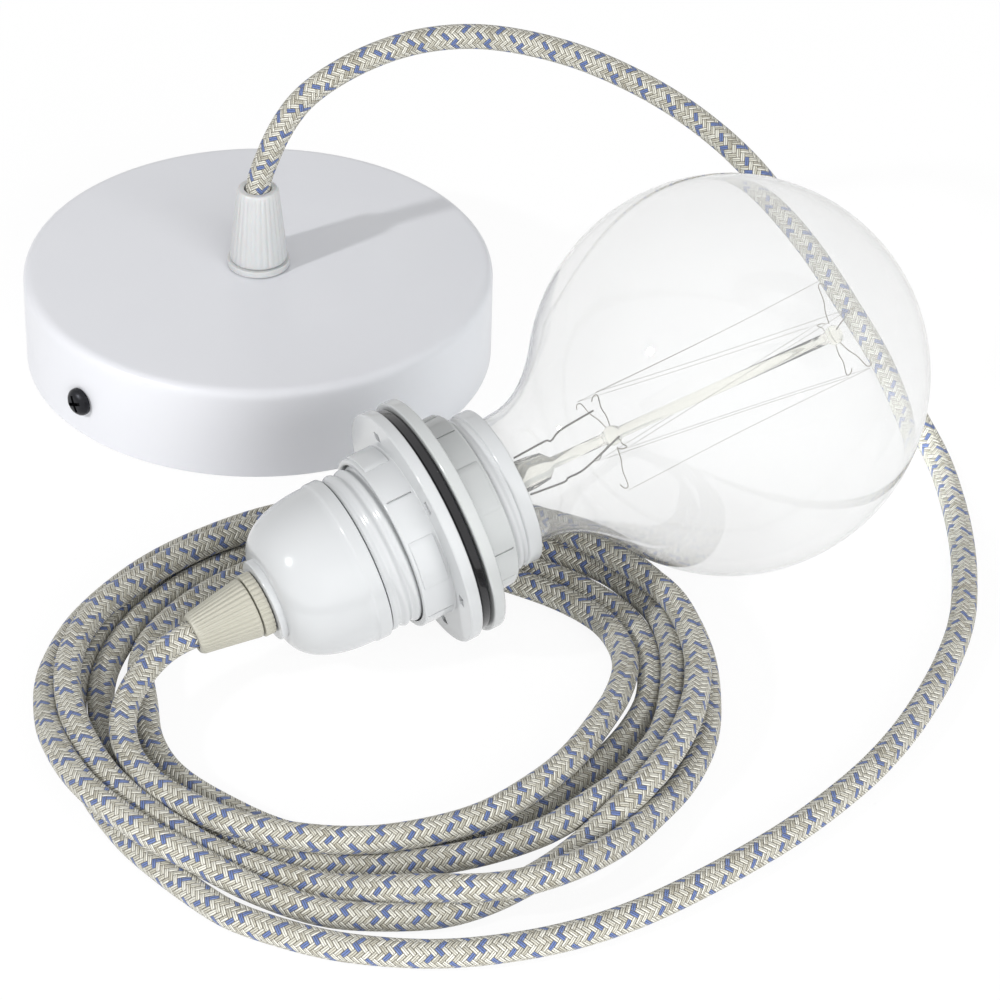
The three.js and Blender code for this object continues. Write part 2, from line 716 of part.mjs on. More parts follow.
function makeGlobe() {
  const startAngle = THREE.MathUtils.radToDeg(Math.asin(neckStart / globeRadius));
  const seatRadius = bulbCapRadius - bulbThreadDepth - bulbCapWall - slackGap;
  const innerRadius = globeRadius - glassWall;
  const innerStart = THREE.MathUtils.radToDeg(Math.asin(neckStart / innerRadius));
  const outer = arc(0, 0, globeRadius, -90, startAngle, 12);
  const inner = arc(0, 0, innerRadius, innerStart, -90, 9);
  outer[0][0] = 0;
  inner[inner.length - 1][0] = 0;
  const shoulder = bulbCapTop - 2;
  const profile = [
    ...outer, ...neckPoints(0, 4), [neckRadius - 0.4, shoulder - 2], [seatRadius + 1.5, shoulder + 0.4],
    [seatRadius, bulbCapTop - touchGap], [seatRadius, bulbCapTop + 5],
    [seatRadius - glassWall, bulbCapTop + 5], [seatRadius - glassWall, bulbCapTop],
    [neckRadius - 0.4 - glassWall, shoulder - 2.4], ...neckPoints(glassWall, 3).reverse(), ...inner,
  ];
  return turned(profile, 32);
}

function makeBulbCap() {
  const root = bulbCapRadius - bulbThreadDepth;
  const bottom = bulbEnd - bulbInsulatorHeight - bulbContactHeight + touchGap;
  const inner = root - bulbCapWall;
  const threadLow = bulbCapTop + 2.2;
  const ridges = [];
  for (let z = threadLow; z + bulbThreadPitch < bottom - 2; z += bulbThreadPitch) {
    ridges.push([root, z], [bulbCapRadius, z + bulbThreadPitch * 0.5]);
  }
  const profile = [
    [inner, bulbCapTop], [root, bulbCapTop], ...ridges, [root, bottom - 2], [root - 2.2, bottom],
    [root - 2.7, bottom], [inner, bottom - 2.4],
  ];
  return turned(profile, 24);
}

function makeBulbInsulator() {
  const high = bulbEnd - bulbContactHeight - touchGap;
  const low = high - bulbInsulatorHeight + 2 * touchGap;
  const wide = bulbCapRadius - bulbThreadDepth - 2.7 - touchGap;
  return turned([[0, low], [wide, low], [bulbContactRadius, high], [0, high]], 24);
}

function makeBulbContact() {
  const low = bulbEnd - bulbContactHeight;
  const profile = [[0, low], [bulbContactRadius, low], [bulbContactRadius * 0.7, bulbEnd], [0, bulbEnd]];
  return turned(profile, 16);
}

const stemPivot = bulbCapTop + 2.5;

// The mount inside the globe, measured along its own axis from the pivot at the flare
function makeStem() {
  const at = (place) => place - stemPivot;
  const profile = [
    [0, at(upperButtonPlace - 2)], [buttonRadius * 0.8, at(upperButtonPlace - 1.4)],
    [buttonRadius, at(upperButtonPlace)], [buttonRadius * 0.8, at(upperButtonPlace + 1.4)],
    [rodRadius, at(upperButtonPlace + 2)], [rodRadius, at(lowerButtonPlace - 2)],
    [buttonRadius * 0.8, at(lowerButtonPlace - 1.4)], [buttonRadius, at(lowerButtonPlace)],
    [buttonRadius * 0.8, at(lowerButtonPlace + 1.4)], [rodRadius, at(lowerButtonPlace + 2)],
    [rodRadius, at(pinchPlace - 6)], [pinchRadius * 0.85, at(pinchPlace - 4)], [pinchRadius, at(pinchPlace)],
    [pinchRadius, at(pinchPlace + 4)], [stemFlareRadius * 0.55, at(bulbCapTop - 3)],
    [stemFlareRadius, at(bulbCapTop + 1)], [stemFlareRadius, at(bulbCapTop + 2.5)], [0, at(bulbCapTop + 1)],
  ];
  return turned(profile, 16);
}

const hookTurn = THREE.MathUtils.degToRad(41.7);
const lowerHookPlace = lowerButtonPlace - stemPivot;
const upperHookPlace = upperButtonPlace - stemPivot;

function hookAngle(index) {
  return hookTurn + (index * 2 * Math.PI) / hookCount;
}

function polar(radius, angle, z) {
  return new THREE.Vector3(radius * Math.cos(angle), radius * Math.sin(angle), z);
}

function makeHook(angle, place, outward) {
  const start = buttonRadius + touchGap + hookWireRadius;
  const points = [
    polar(start, angle, place), polar(start + 3, angle, place + outward * 0.4),
    polar(hookReach * 0.7, angle, place + outward * 1.2), polar(hookReach, angle, place + outward * 1.5),
    polar(hookReach + 0.2, angle, place + outward * 2.6), polar(hookReach - 1, angle, place + outward * 3.2),
  ];
  return routed(points, hookWireRadius, 4, 7);
}

const leadOut = pinchPlace + 2 - stemPivot;
const leadEnd = lowerButtonPlace + 0.6 - stemPivot;

function makeLeadWire(side, endRadius, endAngle) {
  const startRadius = pinchRadius + touchGap + leadWireRadius;
  const angle = side > 0 ? hookTurn : hookTurn + Math.PI;
  const points = [
    polar(startRadius, angle, leadOut), polar(startRadius + 0.3, angle, leadOut - 4),
    polar(startRadius + 0.6, angle, leadOut - 9), polar(startRadius + 0.1, angle, leadOut - 10.2),
    polar((startRadius + endRadius) / 2, (angle + endAngle) / 2, (leadOut + leadEnd) / 2 - 2),
    polar(endRadius, endAngle, leadEnd),
  ];
  return routed(points, leadWireRadius, 5, 12);
}

function makeFilament() {
  const reach = hookReach + hookWireRadius + filamentRadius + filamentSlack;
  const points = [];
  for (let i = 0; i < hookCount; i += 1) {
    const angle = hookAngle(i);
    const half = Math.PI / hookCount;
    points.push(polar(reach, angle, lowerHookPlace + filamentLift));
    points.push(polar(reach, angle + half, upperHookPlace - filamentLift));
  }
  return routed(points, filamentRadius, 4, 45, 0.05);
}

const seam = -Math.PI / hookCount;
const mount = new THREE.Group();
mount.position.z = stemPivot;
mount.rotation.y = -stemLean;
lamp.add(mount);
piece("bulb_globe", makeGlobe(), glass, lamp);
piece("bulb_screw_cap", makeBulbCap(), plainSteel, lamp);
piece("bulb_insulator", makeBulbInsulator(), darkGlass, lamp);
piece("bulb_end_contact", makeBulbContact(), plainSteel, lamp);
piece("bulb_stem", makeStem(), glass, mount);
piece("lead_wire_1", makeLeadWire(1, leadWireReach1, hookTurn + 1.45), darkWire, mount);
piece("lead_wire_2", makeLeadWire(-1, leadWireReach2, hookTurn + Math.PI + 0.45), darkWire, mount);
for (let i = 0; i < hookCount; i += 1) {
  piece(`lower_hook_${i + 1}`, makeHook(hookAngle(i), lowerHookPlace, 1), darkWire, mount);
  piece(`upper_hook_${i + 1}`, makeHook(hookAngle(i) + seam, upperHookPlace, -1), darkWire, mount);
}
piece("filament", makeFilament(), tungsten, mount);

// Cord. Its uncoiled stretches follow points chosen by hand.
function lampPoint(z) {
  return new THREE.Vector3(0, 0, z).applyMatrix4(lamp.matrixWorld);
}

const holderRun = [
  lampPoint(cordEndInHolder), lampPoint(holderGripPlace + 2), lampPoint(holderGripTip - 6),
  lampPoint(holderGripTip), lampPoint(holderGripTip + holderCordReach),
];
const holderRunSteps = 5;
piece("cord_holder_run", routed(holderRun, cordRadius, cordSides, holderRunSteps), braid);

const roseRun = [
  ...vectors([[0, 0, cordEndInRose], [0, 0, 24], [0, 0, 33], [0, 0, 42], [0, 0, cordGripTop + 1]]),
  ...vectors([
    [2.2, 0.3, 55], [5.8, 1, 63.8], [12, 2.6, 72.6], [22.8, 5, 80], [34.6, 8, 84.4],
    [45, 10.2, 86], [55, 12, 85.8], [65, 13, 84.2], [75, 12.8, 82], [85, 11.8, 79],
    [98, 9, 74], [110.4, 4, 68.2], [121.8, -3.6, 61.8], [131, -9.4, 53.4], [140.8, -14.6, 42.6],
    [149.6, -20.4, 31.4], [158.8, -27, 19.6], [166.6, -36.4, 8.6], [172, -48.4, 3.8],
    [174.4, -65.2, 3.1], [175.3, -82, 3.1], [174.8, -98.3, 3.1], [172.9, -114.3, 3.1],
    [168.5, -129.9, 3.1], [162.4, -145.2, 3.1], [154.9, -160.1, 3.1], [145.3, -174.8, 3.1],
    [131.3, -191.4, 3.1], [119.9, -202.4, 3.1], [108.9, -211.8, 3.1], [98, -220.1, 3.1],
    [87.3, -226.6, 3.1], [76.8, -231.2, 3.1], [66.3, -234.3, 3.1], [55.8, -236.2, 3.1],
    [45.4, -236.5, 3.1], [34.8, -235.5, 3.1], [28, -234, 3.1], [21, -231.6, 3.1],
  ]),
];
piece("cord_rose_run", steppedRoute(roseRun, cordRadius, cordSides, cordStep), braid);

// The coil's outer shape, cut away where the lamp holder stands inside it
function makeCoil() {
  const profile = [
    [coilInnerRadius, 0], [coilOuterRadius - 1, 0], [coilOuterRadius, 1.5],
    [coilOuterRadius, coilHeight - coilShoulder], [coilOuterRadius - coilShoulder, coilHeight],
    [coilInnerRadius + coilShoulder, coilHeight], [coilInnerRadius, coilHeight - coilShoulder],
  ];
  const ring = turned(profile, 44).translate(coilX, coilY, 0);
  const room = (radius) => radius + coilClearance;
  const globe = arc(0, 0, room(globeRadius), -90, 60, 12);
  globe[0][0] = 0;
  const space = turned([
    ...globe, [room(neckRadius) + 3, rimPlace - 10], [room(bodyThreadRadius), rimPlace],
    [room(ringBarrelRadius), frontFlangeFace - coilClearance],
    [room(flangeRadius), frontFlangeFace - coilClearance],
    [room(flangeRadius), rearFlangeBack + coilClearance],
    [room(ringBarrelRadius), rearFlangeBack + coilClearance], [room(capRadius), capStart],
    [room(capRadius), domeStart + capDomeLength / 2], [room(collarRadius), capEnd], [0, capEnd],
  ], 32).applyMatrix4(lamp.matrixWorld);
  return cutBy(ring, [space]);
}

piece("cord_coil", makeCoil(), braid);

export default model;
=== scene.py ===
# A pendant cord set laid on a pale table: ceiling rose, braided cord in a loose coil,
# and a threaded lamp holder with two shade rings and a clear globe bulb.
import json
import math

import bpy
import bmesh
import numpy as np
from mathutils import Matrix, Vector

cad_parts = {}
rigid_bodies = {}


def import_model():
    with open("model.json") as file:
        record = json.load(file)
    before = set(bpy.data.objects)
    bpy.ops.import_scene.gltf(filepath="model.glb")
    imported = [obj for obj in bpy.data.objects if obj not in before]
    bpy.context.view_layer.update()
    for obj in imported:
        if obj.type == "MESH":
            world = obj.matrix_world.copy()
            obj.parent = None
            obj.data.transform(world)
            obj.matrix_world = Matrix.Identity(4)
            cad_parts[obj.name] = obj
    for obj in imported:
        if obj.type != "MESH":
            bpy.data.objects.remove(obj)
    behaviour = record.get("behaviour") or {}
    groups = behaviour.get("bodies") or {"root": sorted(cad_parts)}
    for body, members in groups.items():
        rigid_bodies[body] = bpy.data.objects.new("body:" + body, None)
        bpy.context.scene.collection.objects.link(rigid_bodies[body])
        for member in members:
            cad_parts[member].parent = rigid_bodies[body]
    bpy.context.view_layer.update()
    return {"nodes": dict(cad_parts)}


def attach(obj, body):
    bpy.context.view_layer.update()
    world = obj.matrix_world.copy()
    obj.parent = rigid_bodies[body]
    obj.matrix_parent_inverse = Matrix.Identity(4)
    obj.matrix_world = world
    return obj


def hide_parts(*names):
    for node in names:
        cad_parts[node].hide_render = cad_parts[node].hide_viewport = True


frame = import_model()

sceneObjects = bpy.context.scene.collection.objects
millimetre = Matrix.Scale(0.001, 4)

# The camera stands where the photograph was taken from
view = {"place": (0.06349, -0.84892, 0.55246), "pitch": 35.227, "roll": 1.696, "lens": 140.4}


def placeCamera():
    pitch, roll = math.radians(view["pitch"]), math.radians(view["roll"])
    forward = Vector((0, math.cos(pitch), -math.sin(pitch)))
    up, right = Vector((0, math.sin(pitch), math.cos(pitch))), Vector((1, 0, 0))
    upward = math.cos(roll) * up - math.sin(roll) * right
    sideways = math.cos(roll) * right + math.sin(roll) * up
    data = bpy.data.cameras.new("camera")
    data.lens, data.sensor_width = view["lens"], 36
    data.clip_start, data.clip_end = 0.05, 20
    camera = bpy.data.objects.new("camera", data)
    sceneObjects.link(camera)
    columns = Matrix((sideways, upward, -forward)).transposed().to_4x4()
    camera.matrix_world = Matrix.Translation(view["place"]) @ columns
    bpy.context.scene.camera = camera


placeCamera()
print("camera placed")

# Where the lamp holder and bulb lie: the middle of the globe, and the turn of their axis.
# The globe and the back edge of the rear flange rest on the table, and that sets the tilt.
lampLie = {"place": (0.1164, -0.0799, 0.0475), "heading": 208.2, "flange": 29.0, "flangeBack": 85.3, "globe": 47.5,
           "pivot": 67.0, "stemTurn": -2}
lampTilt = math.atan2(lampLie["flangeBack"], lampLie["flange"]) - math.acos(
    lampLie["globe"] / math.hypot(lampLie["flangeBack"], lampLie["flange"]))
lampPlace = (Matrix.Translation(lampLie["place"])
             @ Matrix.Rotation(math.radians(lampLie["heading"]), 4, "Z")
             @ Matrix.Rotation(math.pi / 2 + lampTilt, 4, "Y"))
mountPlace = (lampPlace @ Matrix.Translation((0, 0, lampLie["pivot"] / 1000))
              @ Matrix.Rotation(math.radians(lampLie["stemTurn"]), 4, "Y"))  # the glass stem sits a little askew
rosePlace = Matrix.Identity(4)


def linear(shade):
    values = [int(shade[i:i + 2], 16) / 255 for i in (1, 3, 5)]
    return [v / 12.92 if v <= 0.04045 else ((v + 0.055) / 1.055) ** 2.4 for v in values] + [1.0]


def addNode(tree, kind, links=None, **settings):
    node = tree.nodes.new(kind)
    for key, value in settings.items():
        setattr(node, key, value)
    for key, value in (links or {}).items():
        if isinstance(value, bpy.types.Node):  # a node stands for its first output
            value = value.outputs[0]
        if isinstance(value, bpy.types.NodeSocket):
            tree.links.new(value, node.inputs[key])
        else:
            node.inputs[key].default_value = value
    return node


def newFinish(name, sockets):
    material = bpy.data.materials.new(name)
    material.use_nodes = True
    shader = material.node_tree.nodes["Principled BSDF"]
    for key, value in sockets.items():
        shader.inputs[key].default_value = value
    return material, material.node_tree, shader


# Cord: a round two-core flex with a 24-carrier cotton braid
cordRoute = {
    "radius": 3.1, "sides": 24, "ringStep": 1.2, "softening": 7.0,
    "coilMiddle": (37.5, -150),
    "lampStations": [117.0, 126.2, 135.7, 141.7, 148.2],
    "lead": [(186, 53.6, 12.2), (195.1, 58.3, 10.7), (204.3, 61.3, 9.7), (213.4, 62.7, 9.3)],
    # each pass of the coil: angle, distance from the middle, and height where it is off the table
    "passes": [
        [(224.4, 62.6, 9.2), (240.3, 60.8, 9.2), (255.2, 59.1, 9.2), (270, 57.5, 9.2), (284.8, 55.4, 9.2),
         (297.7, 54, 9.2), (311.6, 52, 9.2), (324.5, 51.3, 9), (336.5, 51, 8.4), (348.5, 51.9, 7.6),
         (359.5, 54.1, 6.4), (13.5, 57.6, 5.1), (28.6, 59, 3.9), (41.6, 57.1, 3.5), (54.6, 54.4, 3.6),
         (71.7, 53.6, 3.5), (89.9, 54.5, 3.8), (107.2, 55.1, 3.9)],
        [(124.6, 55.6, 4), (143.9, 55.7, 3.9), (161.9, 56.5, 3.8), (173.6, 55.5, 3.6), (185.4, 53.4, 3.4),
         (200.2, 54, 3.2), (215, 53.8), (231.9, 52.2), (249.9, 52.7), (270, 53.4), (290.1, 53.7), (303, 53),
         (315, 52.6), (326, 53.1), (335, 54.5), (344, 56.3), (352.9, 58.7), (1.9, 61.3), (12, 63.1), (23, 64.9),
         (33, 64.9), (45, 63.2), (56.9, 61, 3.2), (74.9, 60.2, 3.2), (93, 60.8, 3.3), (108.2, 61.3, 3.5)],
        [(121.4, 61.7, 3.7), (137.6, 61.8, 4), (155.9, 62.4, 4.1), (174.1, 63.2, 4.1), (189.9, 63.2, 3.8),
         (205.5, 62.4, 3.4), (222.2, 60.9, 3.2), (240.1, 59.7), (255, 59.4), (270, 59.5, 3.3), (279.1, 59.9, 4.3),
         (288.1, 61.1, 5.5), (297.2, 62.2, 6.5), (308.3, 63.1, 7.1), (317.6, 62.7, 7.3), (329, 63.7, 7.1),
         (342.2, 65, 6.7), (351.1, 65.8, 6.6), (0.9, 66.6, 6.5), (9.7, 68.1, 6), (17.5, 69.7, 5.5),
         (26.3, 71.5, 4.4), (33, 72.4, 3.6), (44.7, 72.6, 3.2), (53.5, 70, 3.4), (69.6, 66.7, 4.9),
         (84.9, 65.2, 6.9), (100.2, 64.3, 8.6)],
        [(117.3, 63.8, 9.4), (131.4, 65.2, 9.3), (146.5, 66.6, 9.2), (161.5, 69.7, 9.2), (175.6, 70.9, 9.3),
         (188.7, 70.4, 9.2), (201.7, 69.6, 9.1), (215.6, 69.3, 8.7), (230.4, 68.1, 7.2), (245.2, 67.3, 5),
         (260.1, 67.6, 4), (267, 68.4, 4.6), (274, 70.4, 6.6), (281, 73.2, 8.7), (287.9, 76, 9.3),
         (294.9, 77.3, 9.2), (302.9, 77, 8.5), (310.8, 75.8, 7), (318.8, 74.7, 5.4), (325.8, 73.7, 4.4),
         (337.7, 74, 3.4), (349.8, 74.6, 3.2), (0.9, 74.7, 3.2), (15, 76.2), (30, 78.3), (45, 79.1), (60.1, 78.4),
         (75.1, 77.6), (90, 76.6), (105, 75.4)],
        [(119.9, 74.3), (139.6, 73.9), (159.5, 74.8), (175.7, 75.6, 3.3), (188, 75.3, 5.1), (199.3, 75.5, 7.6),
         (213.5, 75.6, 9.4), (228.6, 75, 9.7), (240.5, 73.7, 7.8), (250.4, 74.2, 5.7), (260.2, 75, 3.8),
         (268.1, 75.6, 3.3), (280.9, 75.7), (289.9, 74.1, 3.2), (298.8, 71.5, 3.4), (307.7, 69.4, 3.7),
         (315.5, 68.6, 5.3), (322.2, 68.9, 7.8), (329.1, 69.6, 9.2), (337, 70, 9.8), (343.9, 70.5, 9.8),
         (350.9, 71.1, 9.8), (358.9, 71.9, 9.9), (10, 73, 10.1), (24.2, 73.9, 10.1), (37.5, 72.6, 9.4),
         (50.8, 71.6, 9.4), (64.9, 72.3, 8), (79.9, 71.8, 5.8), (95, 70.2, 4.3), (108, 68.9, 3.4)],
        [(120.1, 68.1, 3.2), (140.2, 67.9, 3.2), (160.3, 68.6), (180.1, 69.4), (195, 69.7), (205, 70.8),
         (213, 72.2), (225, 74.1), (232, 75.4), (238, 77), (244, 79.2, 3.2), (249, 81.3, 3.2), (254, 82.3)],
    ],
    # from the coil to the ceiling rose, the same points as the solid part has
    "roseRun": [
        (21, -231.6), (28, -234), (34.8, -235.5), (45.4, -236.5), (55.8, -236.2), (66.3, -234.3), (76.8, -231.2),
        (87.3, -226.6), (98, -220.1), (108.9, -211.8), (119.9, -202.4), (131.3, -191.4), (145.3, -174.8),
        (154.9, -160.1), (162.4, -145.2), (168.5, -129.9), (172.9, -114.3), (174.8, -98.3), (175.3, -82),
        (174.4, -65.2), (172, -48.4, 3.8), (166.6, -36.4, 8.6), (158.8, -27, 19.6), (149.6, -20.4, 31.4),
        (140.8, -14.6, 42.6), (131, -9.4, 53.4), (121.8, -3.6, 61.8), (110.4, 4, 68.2), (98, 9, 74), (85, 11.8, 79),
        (75, 12.8, 82), (65, 13, 84.2), (55, 12, 85.8), (45, 10.2, 86), (34.6, 8, 84.4), (22.8, 5, 80),
        (12, 2.6, 72.6), (5.8, 1, 63.8), (2.2, 0.3, 55), (0, 0, 48.3), (0, 0, 42), (0, 0, 33), (0, 0, 24),
        (0, 0, 16)],
}


def cordLine():
    points = [list(lampPlace @ Vector((0, 0, s / 1000)) * 1000) for s in cordRoute["lampStations"]]
    middleX, middleY = cordRoute["coilMiddle"]
    onTable = [cordRoute["radius"]]
    for turn in [cordRoute["lead"], *cordRoute["passes"]]:
        for angle, reach, *height in turn:
            a = math.radians(angle)
            points.append([middleX + reach * math.cos(a), middleY + reach * math.sin(a), *(height or onTable)])
    points += [[x, y, *(height or onTable)] for x, y, *height in cordRoute["roseRun"]]
    return np.array(points)


def evened(line, step):
    along = np.concatenate([[0], np.cumsum(np.linalg.norm(np.diff(line, axis=0), axis=1))])
    count = max(2, math.ceil(along[-1] / step) + 1)
    at = np.linspace(0, along[-1], count)
    return np.stack([np.interp(at, along, line[:, k]) for k in range(3)], axis=1), at


def smoothLine(points, step, softening=0.0):
    padded = np.vstack([2 * points[0] - points[1], points, 2 * points[-1] - points[-2]])
    t = np.linspace(0, 1, 24, endpoint=False)[:, None]
    parts = []
    for a, b, c, d in zip(padded, padded[1:], padded[2:], padded[3:]):
        parts.append(0.5 * (2 * b + (c - a) * t + (2 * a - 5 * b + 4 * c - d) * t ** 2
                            + (3 * b - a - 3 * c + d) * t ** 3))
    line = np.vstack([*parts, points[-1:]])
    if softening:
        line, _ = evened(line, 0.5)
        half = int(softening / 0.5)
        weights = np.hanning(2 * half + 3)[1:-1]
        weights /= weights.sum()
        ends = [2 * line[0] - line[half:0:-1], line, 2 * line[-1] - line[-2:-half - 2:-1]]
        stretched = np.vstack(ends)
        line = np.stack([np.convolve(stretched[:, k], weights, "valid") for k in range(3)], axis=1)
    return evened(line, step)


def tubeAlong(line, radius, sides):
    tangents = np.gradient(line, axis=0)
    tangents /= np.linalg.norm(tangents, axis=1)[:, None]
    guess = np.array([0, 0, 1.0]) if abs(tangents[0][2]) < 0.9 else np.array([1.0, 0, 0])
    normal = np.cross(tangents[0], guess)
    normal /= np.linalg.norm(normal)
    verts = []
    for place, tangent in zip(line, tangents):  # the frame is carried along, so the tube doesn't twist
        normal = normal - tangent * (normal @ tangent)
        normal /= np.linalg.norm(normal)
        other = np.cross(tangent, normal)
        for k in range(sides):
            a = 2 * math.pi * k / sides
            verts.append(place + radius * (math.cos(a) * normal + math.sin(a) * other))
    faces = []
    for i in range(len(line) - 1):
        low, high = i * sides, (i + 1) * sides
        for k in range(sides):
            n = (k + 1) % sides
            faces.append((low + k, low + n, high + n, high + k))
    last = (len(line) - 1) * sides
    faces.append(tuple(range(sides - 1, -1, -1)))
    faces.append(tuple(last + k for k in range(sides)))
    return verts, faces


def newPiece(name, verts, faces, finish, place=rosePlace, sharp=38.0):
    mesh = bpy.data.meshes.new(name)
    mesh.from_pydata([tuple(v) for v in verts], [], faces)
    mesh.transform(place @ millimetre)
    mesh.materials.append(finish)
    mesh.shade_smooth()
    mesh.set_sharp_from_angle(angle=math.radians(sharp))
    piece = bpy.data.objects.new(name, mesh)
    sceneObjects.link(piece)
    return piece


def standFor(piece, slotName, *nodes):
    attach(piece, "root")
    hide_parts(*nodes)


# Cotton and rayon braid, plaited over the cores: matt, with bright threads lying in crossing bundles.
# A bundle is 1.1 mm wide and climbs one turn in 17 mm; two of the twelve each way are blue.
braidLook = {
    "bundles": 12, "lay": 0.017, "yarns": 2, "cream": "#e2e1d7", "beige": "#cac8bb", "taupe": "#979180",
    # the gap colour is painted shade for the crevices where one bundle dips under the next
    "blue": "#3b599c", "lilac": "#8796be", "gap": "#655e50", "seam": "#63594a", "relief": 0.00028, "fuzz": 0.0002,
}


def braidFinish():
    look = braidLook
    material, tree, shader = newFinish("plaited cotton braid", {
        "Roughness": 0.78, "Sheen Weight": 0.25, "Sheen Roughness": 0.4, "IOR": 1.5})
    uv = addNode(tree, "ShaderNodeUVMap", uv_map="braid")
    parts = addNode(tree, "ShaderNodeSeparateXYZ", {0: uv})
    rise = addNode(tree, "ShaderNodeMath", {0: parts.outputs[1], 1: look["bundles"] / look["lay"]},
                   operation="MULTIPLY")
    around = addNode(tree, "ShaderNodeMath", {0: parts.outputs[0], 1: look["bundles"]}, operation="MULTIPLY")
    # a and b count the bundles of the two directions, i and j are the whole numbers
    a, b = [addNode(tree, "ShaderNodeMath", {0: rise, 1: around}, operation=way) for way in ("ADD", "SUBTRACT")]
    i, j = [addNode(tree, "ShaderNodeMath", {0: value}, operation="FLOOR") for value in (a, b)]
    apart = addNode(tree, "ShaderNodeMath", {0: i, 1: j}, operation="SUBTRACT")
    four = addNode(tree, "ShaderNodeMath", {0: apart, 1: 4.0}, operation="FLOORED_MODULO")
    over = addNode(tree, "ShaderNodeMath", {0: four, 1: 1.5}, operation="LESS_THAN")
    # across the top bundle, from 0 to 1, and along its float over two others
    acrossA, acrossB = [addNode(tree, "ShaderNodeMath", {0: value}, operation="FRACT") for value in (a, b)]
    across = addNode(tree, "ShaderNodeMix", {0: over, 2: acrossB, 3: acrossA})
    bi = addNode(tree, "ShaderNodeMath", {0: b, 1: i}, operation="SUBTRACT")
    aj = addNode(tree, "ShaderNodeMath", {0: a, 1: j}, operation="SUBTRACT")
    alongA = addNode(tree, "ShaderNodeMath", {0: bi, 1: 1.0}, operation="ADD")
    alongB = addNode(tree, "ShaderNodeMath", {0: aj, 1: 2.0}, operation="SUBTRACT")
    along = addNode(tree, "ShaderNodeMix", {0: over, 2: alongB, 3: alongA})
    along = addNode(tree, "ShaderNodeMath", {0: along, 1: 4.0}, operation="FLOORED_MODULO")
    along = addNode(tree, "ShaderNodeMath", {0: along, 1: 1.0}, operation="SUBTRACT")
    middle = addNode(tree, "ShaderNodeMath", {0: across, 1: 0.5}, operation="SUBTRACT")
    square = addNode(tree, "ShaderNodeMath", {0: middle, 1: middle}, operation="MULTIPLY")
    crown = addNode(tree, "ShaderNodeMath", {0: square, 1: -4.0, 2: 1.0}, operation="MULTIPLY_ADD")
    far = addNode(tree, "ShaderNodeMath", {0: along, 1: along}, operation="MULTIPLY")
    bow = addNode(tree, "ShaderNodeMath", {0: far, 1: -0.75, 2: 1.0}, operation="MULTIPLY_ADD")
    height = addNode(tree, "ShaderNodeMath", {0: crown, 1: bow}, operation="MULTIPLY")
    # which bundle it is, and which of its two yarns
    bundle = addNode(tree, "ShaderNodeMix", {0: over, 2: j, 3: i})
    six = addNode(tree, "ShaderNodeMath", {0: bundle, 1: look["bundles"] / 2}, operation="FLOORED_MODULO")
    isBlue = addNode(tree, "ShaderNodeMath", {0: six, 1: 0.5}, operation="LESS_THAN")
    carrier = addNode(tree, "ShaderNodeMath", {0: bundle, 1: look["bundles"]}, operation="FLOORED_MODULO")
    pairs = addNode(tree, "ShaderNodeMath", {0: across, 1: look["yarns"]}, operation="MULTIPLY")
    yarn = addNode(tree, "ShaderNodeMath", {0: pairs}, operation="FLOOR")
    inYarn = addNode(tree, "ShaderNodeMath", {0: pairs, 1: 1.0}, operation="PINGPONG")
    half = addNode(tree, "ShaderNodeMath", {0: inYarn, 1: 0.5}, operation="SUBTRACT")
    away = addNode(tree, "ShaderNodeMath", {0: half}, operation="ABSOLUTE")
    ply = addNode(tree, "ShaderNodeMapRange", {0: away, 1: 0.5, 2: 0.18}, interpolation_type="SMOOTHSTEP")
    name = addNode(tree, "ShaderNodeCombineXYZ", {0: carrier, 1: over, 2: yarn})
    shade = addNode(tree, "ShaderNodeTexWhiteNoise", {0: name}, noise_dimensions="3D")
    place = addNode(tree, "ShaderNodeTexCoord").outputs["Object"]
    fuzz = addNode(tree, "ShaderNodeTexNoise", {"Vector": place, "Scale": 1 / look["fuzz"], "Detail": 2.0})
    worn = addNode(tree, "ShaderNodeTexNoise", {"Vector": place, "Scale": 90.0, "Detail": 2.0})
    mixed = addNode(tree, "ShaderNodeMath", {0: fuzz, 1: 0.9, 2: shade}, operation="MULTIPLY_ADD")
    mixed = addNode(tree, "ShaderNodeMath", {0: worn, 1: 0.5, 2: mixed}, operation="MULTIPLY_ADD")
    spread = addNode(tree, "ShaderNodeMapRange", {0: mixed, 1: 0.25, 2: 1.75})
    pale = addNode(tree, "ShaderNodeValToRGB", {0: spread})
    ramp = pale.color_ramp
    ramp.elements[0].color, ramp.elements[1].color = linear(look["taupe"]), linear(look["cream"])
    ramp.elements[0].position, ramp.elements[1].position = 0.18, 0.72
    ramp.elements.new(0.45).color = linear(look["beige"])
    bright = addNode(tree, "ShaderNodeMix", {0: fuzz, 6: linear(look["blue"]), 7: linear(look["lilac"])},
                     data_type="RGBA").outputs[2]
    thread = addNode(tree, "ShaderNodeMix", {0: isBlue, 6: pale, 7: bright}, data_type="RGBA").outputs[2]
    # painted shade: the dark seam colour runs along the edges of each yarn, for the shade in the creases between
    # yarns
    shadedCreases = addNode(tree, "ShaderNodeMix", {0: ply, 6: linear(look["seam"]), 7: (1, 1, 1, 1)},
                    data_type="RGBA").outputs[2]
    thread = addNode(tree, "ShaderNodeMix", {0: 0.75, 6: thread, 7: shadedCreases}, data_type="RGBA",
                     blend_type="MULTIPLY").outputs[2]
